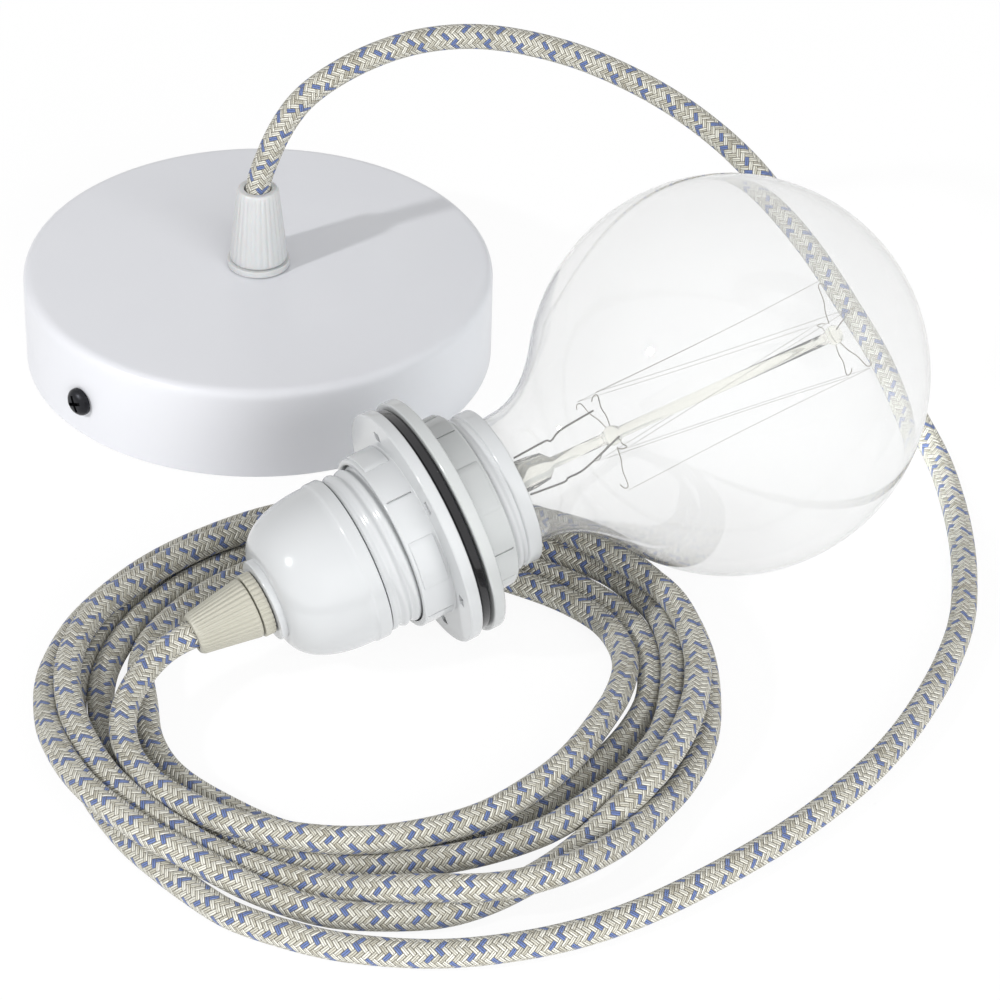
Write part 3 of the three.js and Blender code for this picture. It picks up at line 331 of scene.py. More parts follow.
    # painted shade: the low places of the braid, between bundles, take the dark gap colour
    depth = addNode(tree, "ShaderNodeMapRange", {0: height, 1: 0.0, 2: 0.4}, interpolation_type="SMOOTHSTEP")
    colour = addNode(tree, "ShaderNodeMix", {0: depth, 6: linear(look["gap"]), 7: thread}, data_type="RGBA")
    tree.links.new(colour.outputs[2], shader.inputs["Base Color"])
    tall = addNode(tree, "ShaderNodeMath", {0: fuzz, 1: 0.3, 2: height}, operation="MULTIPLY_ADD")
    tall = addNode(tree, "ShaderNodeMath", {0: ply, 1: 0.25, 2: tall}, operation="MULTIPLY_ADD")
    bump = addNode(tree, "ShaderNodeBump", {"Height": tall, "Strength": 1.0, "Distance": look["relief"]})
    tree.links.new(bump.outputs[0], shader.inputs["Normal"])
    return material


def makeCord():
    line, at = smoothLine(cordLine(), cordRoute["ringStep"], cordRoute["softening"])
    sides = cordRoute["sides"]
    verts, faces = tubeAlong(line, cordRoute["radius"], sides)
    cord = newPiece("braided_cord", verts, faces, braidFinish(), sharp=60)
    layer = cord.data.uv_layers.new(name="braid")
    values = []
    for face in cord.data.polygons:
        quad = len(face.vertices) == 4
        corners = list(face.vertices)
        for v in corners:
            row, k = divmod(v, sides)
            turn = 1.0 if quad and k == 0 and any(c % sides == sides - 1 for c in corners) else k / sides
            values += [turn, at[row] / 1000]
    layer.data.foreach_set("uv", values)
    standFor(cord, "braid", "cord_rose_run", "cord_coil", "cord_holder_run")
    print("cord made,", round(float(at[-1])), "mm long")


makeCord()


# One surface with a slow change of shade and gloss and a fine relief, sizes in millimetres
def surface(name, shade, second, roughness, patch, grain, relief, gloss, **sockets):
    material, tree, shader = newFinish(name, {"Roughness": roughness, **sockets})
    place = addNode(tree, "ShaderNodeTexCoord").outputs["Object"]
    slow = addNode(tree, "ShaderNodeTexNoise", {"Vector": place, "Scale": 1000 / patch, "Detail": 4.0})
    fine = addNode(tree, "ShaderNodeTexNoise", {"Vector": place, "Scale": 1000 / grain, "Detail": 2.0})
    colour = addNode(tree, "ShaderNodeMix", {0: slow, 6: linear(shade), 7: linear(second)}, data_type="RGBA")
    tree.links.new(colour.outputs[2], shader.inputs["Base Color"])
    dull = addNode(tree, "ShaderNodeMapRange", {0: slow, 1: 0.3, 2: 0.7, 3: roughness - gloss, 4: roughness + gloss})
    tree.links.new(dull.outputs[0], shader.inputs["Roughness"])
    bump = addNode(tree, "ShaderNodeBump", {"Height": fine, "Strength": 0.6, "Distance": relief / 1000})
    tree.links.new(bump.outputs[0], shader.inputs["Normal"])
    return material


def clearGlass(name, shade, ior, haze):
    # lamp light passes straight through, and a little white haze stands for dust on the glass
    material, tree, shader = newFinish(name, {
        "Base Color": linear(shade), "Roughness": 0.0, "IOR": ior, "Transmission Weight": 1.0})
    path = addNode(tree, "ShaderNodeLightPath")
    clear = addNode(tree, "ShaderNodeBsdfTransparent", {"Color": linear("#fafbfb")})
    milky = addNode(tree, "ShaderNodeBsdfDiffuse", {"Color": linear("#cccdcd")})
    hazy = addNode(tree, "ShaderNodeMixShader", {0: haze, 1: shader, 2: milky})
    final = addNode(tree, "ShaderNodeMixShader", {0: path.outputs["Is Shadow Ray"], 1: hazy, 2: clear})
    tree.links.new(final.outputs[0], tree.nodes["Material Output"].inputs["Surface"])
    return material


finishes = {
    # stove enamel over pressed steel: satin, with a faint orange peel
    "rose": surface("stove enamelled steel", "#dfe0e4", "#dbdce1", 0.34, 30, 1.1, 0.006, 0.03, IOR=1.5),
    # compression moulded thermoset: hard, glossy, faintly mottled
    "holder": surface("moulded thermoset", "#c4c6c7", "#bec0c2", 0.13, 18, 2.2, 0.004, 0.03, IOR=1.58),
    # the front ring is the same moulded stock, coloured a shade greyer as painted shade for the shadow the rear
    # flange casts on it
    "frontRing": surface("moulded thermoset, grey white", "#bcbebe", "#b6b9b9", 0.14, 18, 2.2, 0.004, 0.03, IOR=1.58),
    # injection moulded nylon, unfilled: milky, light goes a little way in
    "clearGrip": surface("natural nylon", "#d3d4d5", "#cccece", 0.36, 5, 0.4, 0.008, 0.05, IOR=1.53,
                         **{"Transmission Weight": 0.12, "Subsurface Weight": 0.1, "Subsurface Scale": 0.002}),
    "ivoryGrip": surface("ivory nylon", "#b3b1a5", "#aba99c", 0.42, 5, 0.4, 0.006, 0.05, IOR=1.53),
    # a glossy black ring filling the gap between the shade rings: painted shade for the deep gap, which looks dark
    "gasket": surface("black moulded resin", "#101012", "#18181b", 0.12, 8, 0.8, 0.004, 0.04, IOR=1.55),
    # blackened and oiled steel
    "blackScrew": surface("blackened steel", "#232326", "#2f3034", 0.36, 2, 0.3, 0.01, 0.08, Metallic=0.85),
    "zinc": surface("bright zinc plated steel", "#b4b8bd", "#9da2a8", 0.3, 6, 0.4, 0.006, 0.07, Metallic=1.0),
    "nickel": surface("nickel plated brass", "#c2bfb8", "#aeaca6", 0.24, 6, 0.5, 0.006, 0.06, Metallic=1.0),
    "brass": surface("turned brass", "#c9a558", "#b18c43", 0.27, 6, 0.4, 0.006, 0.06, Metallic=1.0),
    "steatite": surface("glazed steatite", "#ece7dc", "#ded7c8", 0.22, 7, 0.6, 0.01, 0.05, IOR=1.55),
    "brownCore": surface("brown PVC", "#6a3f22", "#593319", 0.4, 3, 0.3, 0.006, 0.05, IOR=1.53),
    "blueCore": surface("blue PVC", "#2b59a6", "#234b90", 0.4, 3, 0.3, 0.006, 0.05, IOR=1.53),
    "vitrite": surface("black vitrite", "#1f1d24", "#2a2730", 0.12, 4, 0.6, 0.01, 0.04, IOR=1.6),
    "molybdenum": surface("drawn molybdenum wire", "#a8a399", "#8d897f", 0.34, 1.5, 0.2, 0.004, 0.06, Metallic=1.0),
    "lead": surface("nickel iron lead wire", "#6d6a64", "#55524d", 0.4, 1.5, 0.2, 0.004, 0.06, Metallic=0.9),
    "tungsten": surface("coiled tungsten", "#a39f98", "#8a867f", 0.45, 0.8, 0.15, 0.02, 0.06, Metallic=1.0),
}
globeGlass = clearGlass("blown soda glass", "#ffffff", 1.5, 0.09)
stemGlass = clearGlass("pressed lead glass", "#fcfbf2", 1.5, 0.04)


def turned(profile, segments=96, warp=None):
    # the profile lists (radius, height) up the outside and back down the inside
    onAxis = profile[0][0] == 0 and profile[-1][0] == 0
    verts, rings = [], []
    for radius, height in profile:
        if radius == 0:
            rings.append([len(verts)])
            verts.append((0, 0, height))
            continue
        first = len(verts)
        for k in range(segments):
            angle = 2 * math.pi * k / segments
            reach = warp(radius, height, angle) if warp else radius
            verts.append((reach * math.cos(angle), reach * math.sin(angle), height))
        rings.append(list(range(first, first + segments)))
    faces = []
    for low, high in list(zip(rings, rings[1:])) + ([] if onAxis else [(rings[-1], rings[0])]):
        for k in range(segments):
            n = (k + 1) % segments
            if len(low) == 1 and len(high) == 1:
                break
            if len(low) == 1:
                faces.append((low[0], high[n], high[k]))
            elif len(high) == 1:
                faces.append((low[k], low[n], high[0]))
            else:
                faces.append((low[k], low[n], high[n], high[k]))
    return verts, faces


def rounded(outline, steps=4):
    # softens each corner that has a third number, the length cut off either side of it
    result, count = [], len(outline)
    for i, corner in enumerate(outline):
        here = Vector(corner[:2])
        cut = corner[2] if len(corner) > 2 else 0
        if not cut:
            result.append((here.x, here.y))
            continue
        before, after = Vector(outline[i - 1][:2]), Vector(outline[(i + 1) % count][:2])
        start = here + (before - here).normalized() * cut
        end = here + (after - here).normalized() * cut
        for k in range(steps + 1):
            t = k / steps
            p = start * (1 - t) ** 2 + here * 2 * t * (1 - t) + end * t ** 2
            result.append((p.x, p.y))
    return result


def boxMesh(x, y, z):
    verts = [(x[i], y[j], z[k]) for i in (0, 1) for j in (0, 1) for k in (0, 1)]
    return verts, [(0, 1, 3, 2), (4, 6, 7, 5), (0, 4, 5, 1), (2, 3, 7, 6), (0, 2, 6, 4), (1, 5, 7, 3)]


def bare(name, verts, faces, sharp=38.0):
    # a rough part in millimetres, to be shaped further
    mesh = bpy.data.meshes.new(name)
    mesh.from_pydata([tuple(v) for v in verts], [], faces)
    mesh.shade_smooth()
    mesh.set_sharp_from_angle(angle=math.radians(sharp))
    part = bpy.data.objects.new(name, mesh)
    sceneObjects.link(part)
    return part


def settled(part):
    # turns what the modifiers make into the part's own mesh
    shaped = bpy.data.meshes.new_from_object(part.evaluated_get(bpy.context.evaluated_depsgraph_get()))
    part.modifiers.clear()
    part.data = shaped
    return part


def carved(part, *cutters):
    for cutter in cutters:
        cut = part.modifiers.new("cut", "BOOLEAN")
        cut.operation, cut.solver, cut.object = "DIFFERENCE", "EXACT", cutter
    settled(part)
    for cutter in cutters:
        bpy.data.objects.remove(cutter)
    return part


def joined(parts):
    whole = bmesh.new()
    for part in parts:
        whole.from_mesh(part.data)
    whole.to_mesh(parts[0].data)
    whole.free()
    for part in parts[1:]:
        bpy.data.objects.remove(part)
    return parts[0]


def finishedPiece(part, name, finish, place=rosePlace, sharp=38.0):
    part.data.transform(place @ millimetre)
    part.data.materials.clear()
    part.data.materials.append(finish)
    part.data.shade_smooth()
    part.data.set_sharp_from_angle(angle=math.radians(sharp))
    part.name = part.data.name = name
    return part


def newTree(name, inputs):
    tree = bpy.data.node_groups.new(name, "GeometryNodeTree")
    tree.interface.new_socket("Geometry", in_out="INPUT", socket_type="NodeSocketGeometry")
    tree.interface.new_socket("Geometry", in_out="OUTPUT", socket_type="NodeSocketGeometry")
    for title, kind in inputs.items():
        tree.interface.new_socket(title, in_out="INPUT", socket_type="NodeSocket" + kind)
    return tree, addNode(tree, "NodeGroupInput"), addNode(tree, "NodeGroupOutput")


def closeTree(tree, geometry, given, output):
    real = addNode(tree, "GeometryNodeRealizeInstances", {0: geometry})
    coated = addNode(tree, "GeometryNodeSetMaterial", {0: real, 2: given.outputs["Material"]})
    tree.links.new(coated.outputs[0], output.inputs[0])
    return tree


# Copies of a part turned about the Z axis in even steps
def ringOfCopiesTree():
    tree, given, output = newTree("ring of copies", {"Count": "Int", "First Angle": "Float", "Material": "Material"})
    points = addNode(tree, "GeometryNodePoints", {"Count": given.outputs["Count"]})
    index = addNode(tree, "GeometryNodeInputIndex")
    share = addNode(tree, "ShaderNodeMath", {0: index, 1: given.outputs["Count"]}, operation="DIVIDE")
    angle = addNode(tree, "ShaderNodeMath", {0: share, 1: 2 * math.pi, 2: given.outputs["First Angle"]},
                    operation="MULTIPLY_ADD")
    turn = addNode(tree, "ShaderNodeCombineXYZ", {2: angle})
    copies = addNode(tree, "GeometryNodeInstanceOnPoints", {
        "Points": points, "Instance": given.outputs["Geometry"], "Rotation": turn})
    return closeTree(tree, copies, given, output)


# Grooves pressed between upright ribs round a turned part, fading out at both ends
def ribTree():
    tree, given, output = newTree("ribs", {
        "Ribs": "Int", "Depth": "Float", "Low": "Float", "High": "Float", "Fade": "Float",
        "Skin": "Float", "Material": "Material"})
    place = addNode(tree, "GeometryNodeInputPosition")
    parts = addNode(tree, "ShaderNodeSeparateXYZ", {0: place})
    angle = addNode(tree, "ShaderNodeMath", {0: parts.outputs[1], 1: parts.outputs[0]}, operation="ARCTAN2")
    phase = addNode(tree, "ShaderNodeMath", {0: angle, 1: given.outputs["Ribs"]}, operation="MULTIPLY")
    wave = addNode(tree, "ShaderNodeMath", {0: phase}, operation="COSINE")
    groove = addNode(tree, "ShaderNodeMapRange", {0: wave, 1: -0.35, 2: 0.9}, interpolation_type="SMOOTHSTEP")
    flat = addNode(tree, "ShaderNodeVectorMath", {0: place, 1: (1, 1, 0)}, operation="MULTIPLY")
    outward = addNode(tree, "ShaderNodeVectorMath", {0: flat}, operation="NORMALIZE")
    reach = addNode(tree, "ShaderNodeVectorMath", {0: flat}, operation="LENGTH").outputs["Value"]
    skin = addNode(tree, "ShaderNodeMath", {0: reach, 1: given.outputs["Skin"]}, operation="GREATER_THAN")
    fades = []
    for key, way in (("Low", "ADD"), ("High", "SUBTRACT")):
        end = addNode(tree, "ShaderNodeMath", {0: given.outputs[key], 1: given.outputs["Fade"]}, operation=way)
        fades.append(addNode(tree, "ShaderNodeMapRange", {
            0: parts.outputs[2], 1: given.outputs[key], 2: end}, interpolation_type="SMOOTHSTEP"))
    depth = addNode(tree, "ShaderNodeMath", {0: groove, 1: given.outputs["Depth"]}, operation="MULTIPLY")
    for factor in (skin, *fades, -1.0):
        depth = addNode(tree, "ShaderNodeMath", {0: depth, 1: factor}, operation="MULTIPLY")
    inward = addNode(tree, "ShaderNodeVectorMath", {0: outward, "Scale": depth}, operation="SCALE")
    pressed = addNode(tree, "GeometryNodeSetPosition", {0: given.outputs["Geometry"], "Offset": inward})
    return closeTree(tree, pressed, given, output)


trees = {"copies": ringOfCopiesTree(), "ribs": ribTree()}


def applied(part, treeName, **values):
    step = part.modifiers.new(treeName, "NODES")
    step.node_group = trees[treeName]
    for item in trees[treeName].interface.items_tree:
        key = item.name.replace(" ", "")
        key = key[0].lower() + key[1:]
        if item.in_out == "INPUT" and key in values:
            step[item.identifier] = values[key]
    return settled(part)


def coat(finishName, *nodes):
    # a solid part whose shape is already right keeps its mesh and gets its finish
    for node in nodes:
        for slot in frame["nodes"][node].material_slots:
            slot.material = finishes[finishName]


print("finishes and trees made")

# Ceiling rose, lying with its open side down
rose = {
    "radius": 60.0, "height": 25.0, "wall": 1.0, "edge": 3.0, "hole": 5.2,
    "screwAngle": 226.5, "screwHeight": 10.3, "screwReach": 60.3, "screwHole": 2.3, "crossTurn": 24,
    "screw": {"shank": 2.0, "length": 7.0, "head": 3.6, "height": 2.4},
    "grip": {"foot": 8.0, "footHeight": 1.6, "footRibs": 0, "stem": 8.0, "place": 25.3,
             "wide": 7.4, "tip": 5.1, "cone": 20.1, "ribs": 28, "groove": 0.15},
}
# the same in both cord grips: the hole for the cord, the stem's radius, and the room inside the cone
cordBore, stemRadius, coneRoom = 3.45, 4.9, 5.2


def gripCone(name, size, finish, place):
    low = size["footHeight"] + 0.3
    top, collar = low + size["cone"], size["footHeight"] + size["cone"] * 0.45 + 0.3
    wide, tip = size["wide"], size["tip"]
    outer = [(wide + (tip + 0.3 - wide) * k / 16, low + 0.5 + (size["cone"] - 1.4) * k / 16) for k in range(17)]
    profile = rounded([
        (coneRoom, low), (wide - 0.25, low, 0.2), *outer, (tip - 0.2, top, 0.25), (cordBore, top, 0.2),
        (cordBore, collar), (coneRoom, collar)], 3)
    part = bare(name, *turned(profile, size["ribs"] * 8))
    applied(part, "ribs", ribs=size["ribs"], depth=size["groove"], low=low - 0.2, high=top - 0.3, fade=0.9,
            skin=cordBore + 0.9, material=finish)
    return finishedPiece(part, name, finish, place)


def gripBase(name, size, finish, place):
    height, foot, stem, ribs = size["footHeight"], size["foot"], size["stem"], size["footRibs"]
    collar = height + size["cone"] * 0.45
    profile = rounded([
        (cordBore, -stem), (stemRadius, -stem, 0.3), (stemRadius, 0), (foot, 0, 0.15), (foot, height * 0.33),
        (foot, height * 0.66), (foot, height, 0.3), (stemRadius, height), (stemRadius, collar, 0.4),
        (cordBore, collar)], 3)
    part = bare(name, *turned(profile, max(96, ribs * 8)))
    if ribs:
        applied(part, "ribs", ribs=ribs, depth=0.3, low=-0.6, high=height + 0.4, fade=0.7, skin=foot - 1,
                material=finish)
    return finishedPiece(part, name, finish, place)


def addGrip(owner, size, finishName, place, slotName):
    finish, place = finishes[finishName], place @ Matrix.Translation((0, 0, size["place"] / 1000))
    standFor(gripBase(owner + "_grip_foot", size, finish, place), slotName, owner + "_grip_base")
    standFor(gripCone(owner + "_grip_ribbed", size, finish, place), slotName, owner + "_grip_cone")


def panScrew(shank, length, head, height):
    profile = rounded([
        (0, -length), (shank - 0.3, -length, 0.2), (shank, -length + 0.4), (shank, 0), (head, 0, 0.12),
        (head, height * 0.45, 0.5), (head * 0.72, height * 0.93, 0.8), (0, height)], 5)
    screw = bare("screw", *turned(profile, 64))
    arm, half, deep = head * 0.62, 0.45, height * 0.42  # the cross recess
    bars = [bare("bar", *boxMesh((-arm, arm), (-half, half), (deep, height + 1))),
            bare("bar", *boxMesh((-half, half), (-arm, arm), (deep, height + 1)))]
    return carved(screw, *bars)


def makeRose():
    r, h, wall = rose["radius"], rose["height"], rose["wall"]
    profile = rounded([(r - wall, 0, 0.25), (r, 0, 0.35), (r, h, rose["edge"]), (rose["hole"], h, 0.2),
                       (rose["hole"], h - wall), (r - wall, h - wall, rose["edge"] - wall)], 10)
    shell = bare("ceiling_rose_shell", *turned(profile, 160))
    hole, far = rose["screwHole"], r + 10
    drill = bare("drill", *turned([(0, -far), (hole, -far), (hole, far), (0, far)], 32))
    lying = Matrix.Rotation(math.pi / 2, 4, "Y")
    drill.data.transform(Matrix.Translation((0, 0, rose["screwHeight"]))
                         @ Matrix.Rotation(math.radians(rose["screwAngle"]), 4, "Z") @ lying)
    carved(shell, drill)
    standFor(finishedPiece(shell, "ceiling_rose_shell", finishes["rose"]), "rose_paint", "ceiling_rose")
    screw = panScrew(**rose["screw"])
    screw.data.transform(Matrix.Translation((rose["screwReach"], 0, rose["screwHeight"])) @ lying
                         @ Matrix.Rotation(math.radians(rose["crossTurn"]), 4, "Z"))
    applied(screw, "copies", count=2, firstAngle=math.radians(rose["screwAngle"]), material=finishes["blackScrew"])
    standFor(finishedPiece(screw, "side_screws", finishes["blackScrew"]), "black_steel",
             "side_screw_front", "side_screw_back")
    addGrip("rose", rose["grip"], "clearGrip", rosePlace, "grip_clear")
    coat("clearGrip", "rose_grip_nut")
    clampScrews = [f"terminal_screw_{core}_{end}" for core in ("live", "neutral") for end in ("outer", "inner")]
    coat("zinc", "rose_bracket", *clampScrews)
    coat("brass", "earth_screw", "terminal_sleeve_live", "terminal_sleeve_neutral")
    coat("steatite", "terminal_block")
    coat("brownCore", "rose_wire_live")
    coat("blueCore", "rose_wire_neutral")


makeRose()
print("ceiling rose made")

# Lamp holder, along the lamp's axis from the middle of the globe
holder = {
    "rim": 61.2, "mouth": 16.9, "rimLength": 3.4, "crest": 19.4, "threadDepth": 0.75, "pitch": 3.0, "joint": 100.4,
    "neck": 17.55, "bodyEnd": 104.2, "capRadius": 19.8, "capInner": 17.9, "capStart": 100.7, "skirtEnd": 104.3,
    "domeEnd": 122.3, "fullness": 2.15, "collar": 9.8, "capEnd": 123.9, "capWall": 1.9, "hole": 5.2,
    "bore": 14.4, "mouthDepth": 4.8, "seat": 16.4, "seatFace": 91.8,
    "grip": {"foot": 7.7, "footHeight": 2.6, "footRibs": 34, "stem": 5.4, "place": 124.2,
             "wide": 7.3, "tip": 4.8, "cone": 14.6, "ribs": 34, "groove": 0.26},
}
ring = {
    "bore": 19.75, "barrel": 21.2, "length": 7.8, "flange": 29.0, "thick": 3.0, "rearPlace": 82.3, "frontPlace": 79.3,
    "pads": 4, "padHalf": 16.5, "padHeight": 0.45, "margin": 0.8, "slots": 6, "slotPlace": 24.3, "slotHalf": 1.05,
    "rearTurn": 107.5, "frontTurn": 135.5, "slotTurn": 17.8,
    "gasketRadius": 28.0, "gasketLow": 79.6, "gasketHigh": 82.0,
}


def domeCurve(wide, narrow, low, high, steps):
    n = holder["fullness"]
    result = []
    for k in range(steps + 1):
        share = math.sin(k / steps * math.pi / 2)
        result.append((narrow + (wide - narrow) * (1 - share ** n) ** (1 / n), low + (high - low) * share))
    return result


def helix(root, low, high, pitch, depth, power=1.0):
    # a screw thread with rounded crests, raised from the root radius, that runs out at both ends
    def warp(radius, height, angle):
        if abs(radius - root) >= 0.02 or not low < height < high:
            return radius
        ends = min(1.0, (height - low) / (0.6 * pitch), (high - height) / (0.6 * pitch))
        ridge = 0.5 + 0.5 * math.cos(2 * math.pi * (height / pitch) - angle)
        return radius + depth * ridge ** power * ends
    return warp


def makeHolder():
    h = holder
    dome = domeCurve(h["capRadius"] - 0.35, h["collar"], h["skirtEnd"], h["domeEnd"], 26)
    wall = h["capWall"]
    inside = domeCurve(h["capInner"], h["collar"] - wall, h["skirtEnd"], h["domeEnd"] - wall, 12)[::-1]
    cap = rounded([
        (h["capInner"], h["capStart"], 0.15), (h["capRadius"], h["capStart"], 0.35),
        (h["capRadius"], h["skirtEnd"] - 0.6, 0.35), *dome, (h["collar"], h["capEnd"], 0.35),
        (h["hole"], h["capEnd"], 0.2), (h["hole"], h["domeEnd"] - wall), *inside], 4)
    standFor(newPiece("holder_dome", *turned(cap, 128), finishes["holder"], lampPlace), "holder_white", "holder_cap")
    threadLow = h["rim"] + h["rimLength"]
    root = h["crest"] - h["threadDepth"]
    threadLine = [(root, threadLow + 0.3 + (h["joint"] - threadLow - 0.6) * k / 180) for k in range(181)]
    brim, shoulder = h["crest"] - 0.15, h["rim"] + h["mouthDepth"]
    body = rounded([
        (h["mouth"], h["rim"] + 0.4), (h["mouth"] + 0.4, h["rim"], 0.2), (brim, h["rim"], 0.5),
        (brim, threadLow, 0.4), *threadLine, (h["crest"], h["joint"], 0.12), (h["neck"], h["joint"]),
        (h["neck"], h["bodyEnd"], 0.3), (h["seat"], h["bodyEnd"]), (h["seat"], h["seatFace"]),
        (h["bore"], h["seatFace"]), (h["bore"], shoulder), (h["mouth"], shoulder)], 4)
    thread = helix(root, threadLow, h["joint"] - 0.2, h["pitch"], h["threadDepth"], 0.8)
    standFor(newPiece("holder_threaded_body", *turned(body, 144, thread), finishes["holder"], lampPlace),
             "holder_white", "holder_body")
    rear, front = (Matrix.Translation((0, 0, ring[key])) for key in ("rearPlace", "frontPlace"))
    for name, node, finishName, place, turn in (
            ("rear_ring_dressed", "rear_shade_ring", "holder", rear, ring["rearTurn"]),
            ("front_ring_dressed", "front_shade_ring", "frontRing", front @ Matrix.Rotation(math.pi, 4, "X"),
             -ring["frontTurn"])):
        part = makeRing(name, math.radians(turn))
        part.data.transform(place)
        standFor(finishedPiece(part, name, finishes[finishName], lampPlace), "holder_white", node)
    # painted shade: a black ring fills the gap between the two flanges to darken it
    gasket = rounded([(ring["bore"], ring["gasketLow"], 0.2), (ring["gasketRadius"], ring["gasketLow"], 0.7),
                      (ring["gasketRadius"], ring["gasketHigh"], 0.7), (ring["bore"], ring["gasketHigh"], 0.2)], 6)
    standFor(newPiece("gasket_ring", *turned(gasket, 128), finishes["gasket"], lampPlace), "ring_black",
             "flange_gasket")
    addGrip("holder", h["grip"], "ivoryGrip", lampPlace, "grip_ivory")
    coat("steatite", "contact_block")
    coat("brass", "screw_shell", "centre_contact")
    coat("zinc", "holder_screw_live", "holder_screw_neutral")
    coat("brownCore", "holder_wire_live")
    coat("blueCore", "holder_wire_neutral")


def makeRing(name, turn):
    g = ring
    end = g["thick"] + g["length"]
    profile = rounded([(g["bore"], 0, 0.2), (g["flange"], 0, 0.6), (g["flange"], g["thick"], 0.6),
                       (g["barrel"], g["thick"], 0.3), (g["barrel"], end, 0.45), (g["bore"], end, 0.2)], 5)
    part = bare(name, *turned(profile, 144))
    slotEnds = (g["slotPlace"] - g["slotHalf"], g["slotPlace"] + g["slotHalf"])
    slot = bare("slots", *boxMesh(slotEnds, (-1.5, 1.5), (-1, g["thick"] + 1)))
    applied(slot, "copies", count=g["slots"], firstAngle=math.radians(g["slotTurn"]))
    low, high = g["thick"] + g["margin"], end - g["margin"]
    groove = bare("grooves", *boxMesh((g["barrel"] - 0.45, g["barrel"] + 0.5), (-0.25, 0.25), (low, high)))
    applied(groove, "copies", count=g["pads"], firstAngle=turn + math.pi / g["pads"])
    carved(part, slot, groove)
    skin = g["barrel"] + g["padHeight"]
    section = rounded([(g["barrel"] - 0.6, low), (skin, low, 0.3), (skin, high, 0.3), (g["barrel"] - 0.6, high)], 4)
    half, steps = math.radians(g["padHalf"]), 16
    verts, faces, count = [], [], len(section)
    for k in range(steps + 1):
        angle = -half + 2 * half * k / steps
        shrink = 0.3 if k in (0, steps) else 0.0
        verts += [((r - shrink) * math.cos(angle), (r - shrink) * math.sin(angle), z) for r, z in section]
    for k in range(steps):
        for i in range(count):
            n = (i + 1) % count
            faces.append((k * count + i, (k + 1) * count + i, (k + 1) * count + n, k * count + n))
    faces += [tuple(range(count)), tuple(steps * count + i for i in range(count - 1, -1, -1))]
    pad = bare("pads", verts, faces)
    applied(pad, "copies", count=g["pads"], firstAngle=turn)
    return joined([part, pad])


makeHolder()
print("lamp holder made")

# Bulb: a blown globe with a glass stem, two buttons of hooks and a zigzag filament
bulb = {
    "radius": 47.5, "wall": 0.8, "neckStart": 38.0, "neck": 16.0, "neckEnd": 56.0, "taper": 0.05,
    "tail": [(15.6, 60.5), (14.6, 61.8), (13.0, 62.9), (12.0, 63.7)], "seat": 11.5, "seatEnd": 69.5,
    "capTop": 64.5, "capRadius": 13.2, "capThread": 0.6, "capPitch": 3.6, "capBottom": 85.8,
    "pinch": 54.0, "pinchRadius": 4.0, "lowerButton": 31.6, "upperButton": -29.0, "button": 2.4, "rod": 1.4,
    "flare": 10.3, "hooks": 5, "hookReach": 12.2, "hookWire": 0.14, "hookTurn": 41.7,
    "filament": 0.05, "filamentReach": 13.22, "filamentLift": 1.9, "filamentSag": 0.035,
    # each lead wire: where it leaves the pinch, how far out it ends, and its swing round the stem
    "leadRadius": 0.25, "leads": {"lead_wire_1": (0.0, 7.0, 1.45), "lead_wire_2": (math.pi, 8.0, 0.45)},
}


def neckCurve(steps):
    b = bulb
    start = math.sqrt(b["radius"] ** 2 - b["neckStart"] ** 2)
    slope, length = -b["neckStart"] / start, b["neckEnd"] - b["neckStart"]
    result = []
    for k in range(1, steps + 1):
        t = k / steps
        r = ((2 * t ** 3 - 3 * t ** 2 + 1) * start + (t ** 3 - 2 * t ** 2 + t) * length * slope
             + (3 * t ** 2 - 2 * t ** 3) * b["neck"] - (t ** 3 - t ** 2) * length * b["taper"])
        result.append((r, b["neckStart"] + length * t))
    return result


def polar(radius, angle, z):
    return (radius * math.cos(angle), radius * math.sin(angle), z)


def makeBulb():
    b = bulb
    wall, seat, end, r = b["wall"], b["seat"], b["seatEnd"], b["radius"]
    sweep = math.asin(b["neckStart"] / r) + math.pi / 2

    def ball(steps):
        return [(r * math.sin(sweep * k / steps), -r * math.cos(sweep * k / steps)) for k in range(1, steps + 1)]

    outer = [(0, -r), *ball(64), *neckCurve(18), *b["tail"], (seat, b["capTop"] + 0.3), (seat, end)]
    inner = []
    for before, here, after in zip(outer, outer[1:], outer[2:] + [(seat, end + 1.5)]):  # the same wall all along
        along = Vector((after[0] - before[0], after[1] - before[1])).normalized()
        inner.append((here[0] - wall * along.y, here[1] + wall * along.x))
    inner[-1] = (seat - wall, end)
    glass = [*outer, *inner[::-1], (0, -r + wall)]
    standFor(newPiece("globe_glass", *turned(glass, 160), globeGlass, lampPlace, 70), "glass", "bulb_globe")
    root, bottom = b["capRadius"] - b["capThread"], b["capBottom"]
    low, high, inside = b["capTop"] + 2.2, bottom - 2.2, root - 0.5
    capLine = [(root, low + (high - low) * k / 110) for k in range(111)]
    cap = [(inside, b["capTop"]), (root, b["capTop"]), *capLine, (root, bottom - 2), (root - 2.2, bottom),
           (root - 2.7, bottom), (inside, bottom - 2.4)]
    thread = helix(root, low, high, b["capPitch"], b["capThread"])
    standFor(newPiece("bulb_cap_threaded", *turned(cap, 96, thread), finishes["nickel"], lampPlace), "steel",
             "bulb_screw_cap")
    coat("vitrite", "bulb_insulator")
    coat("nickel", "bulb_end_contact")
    makeMount()


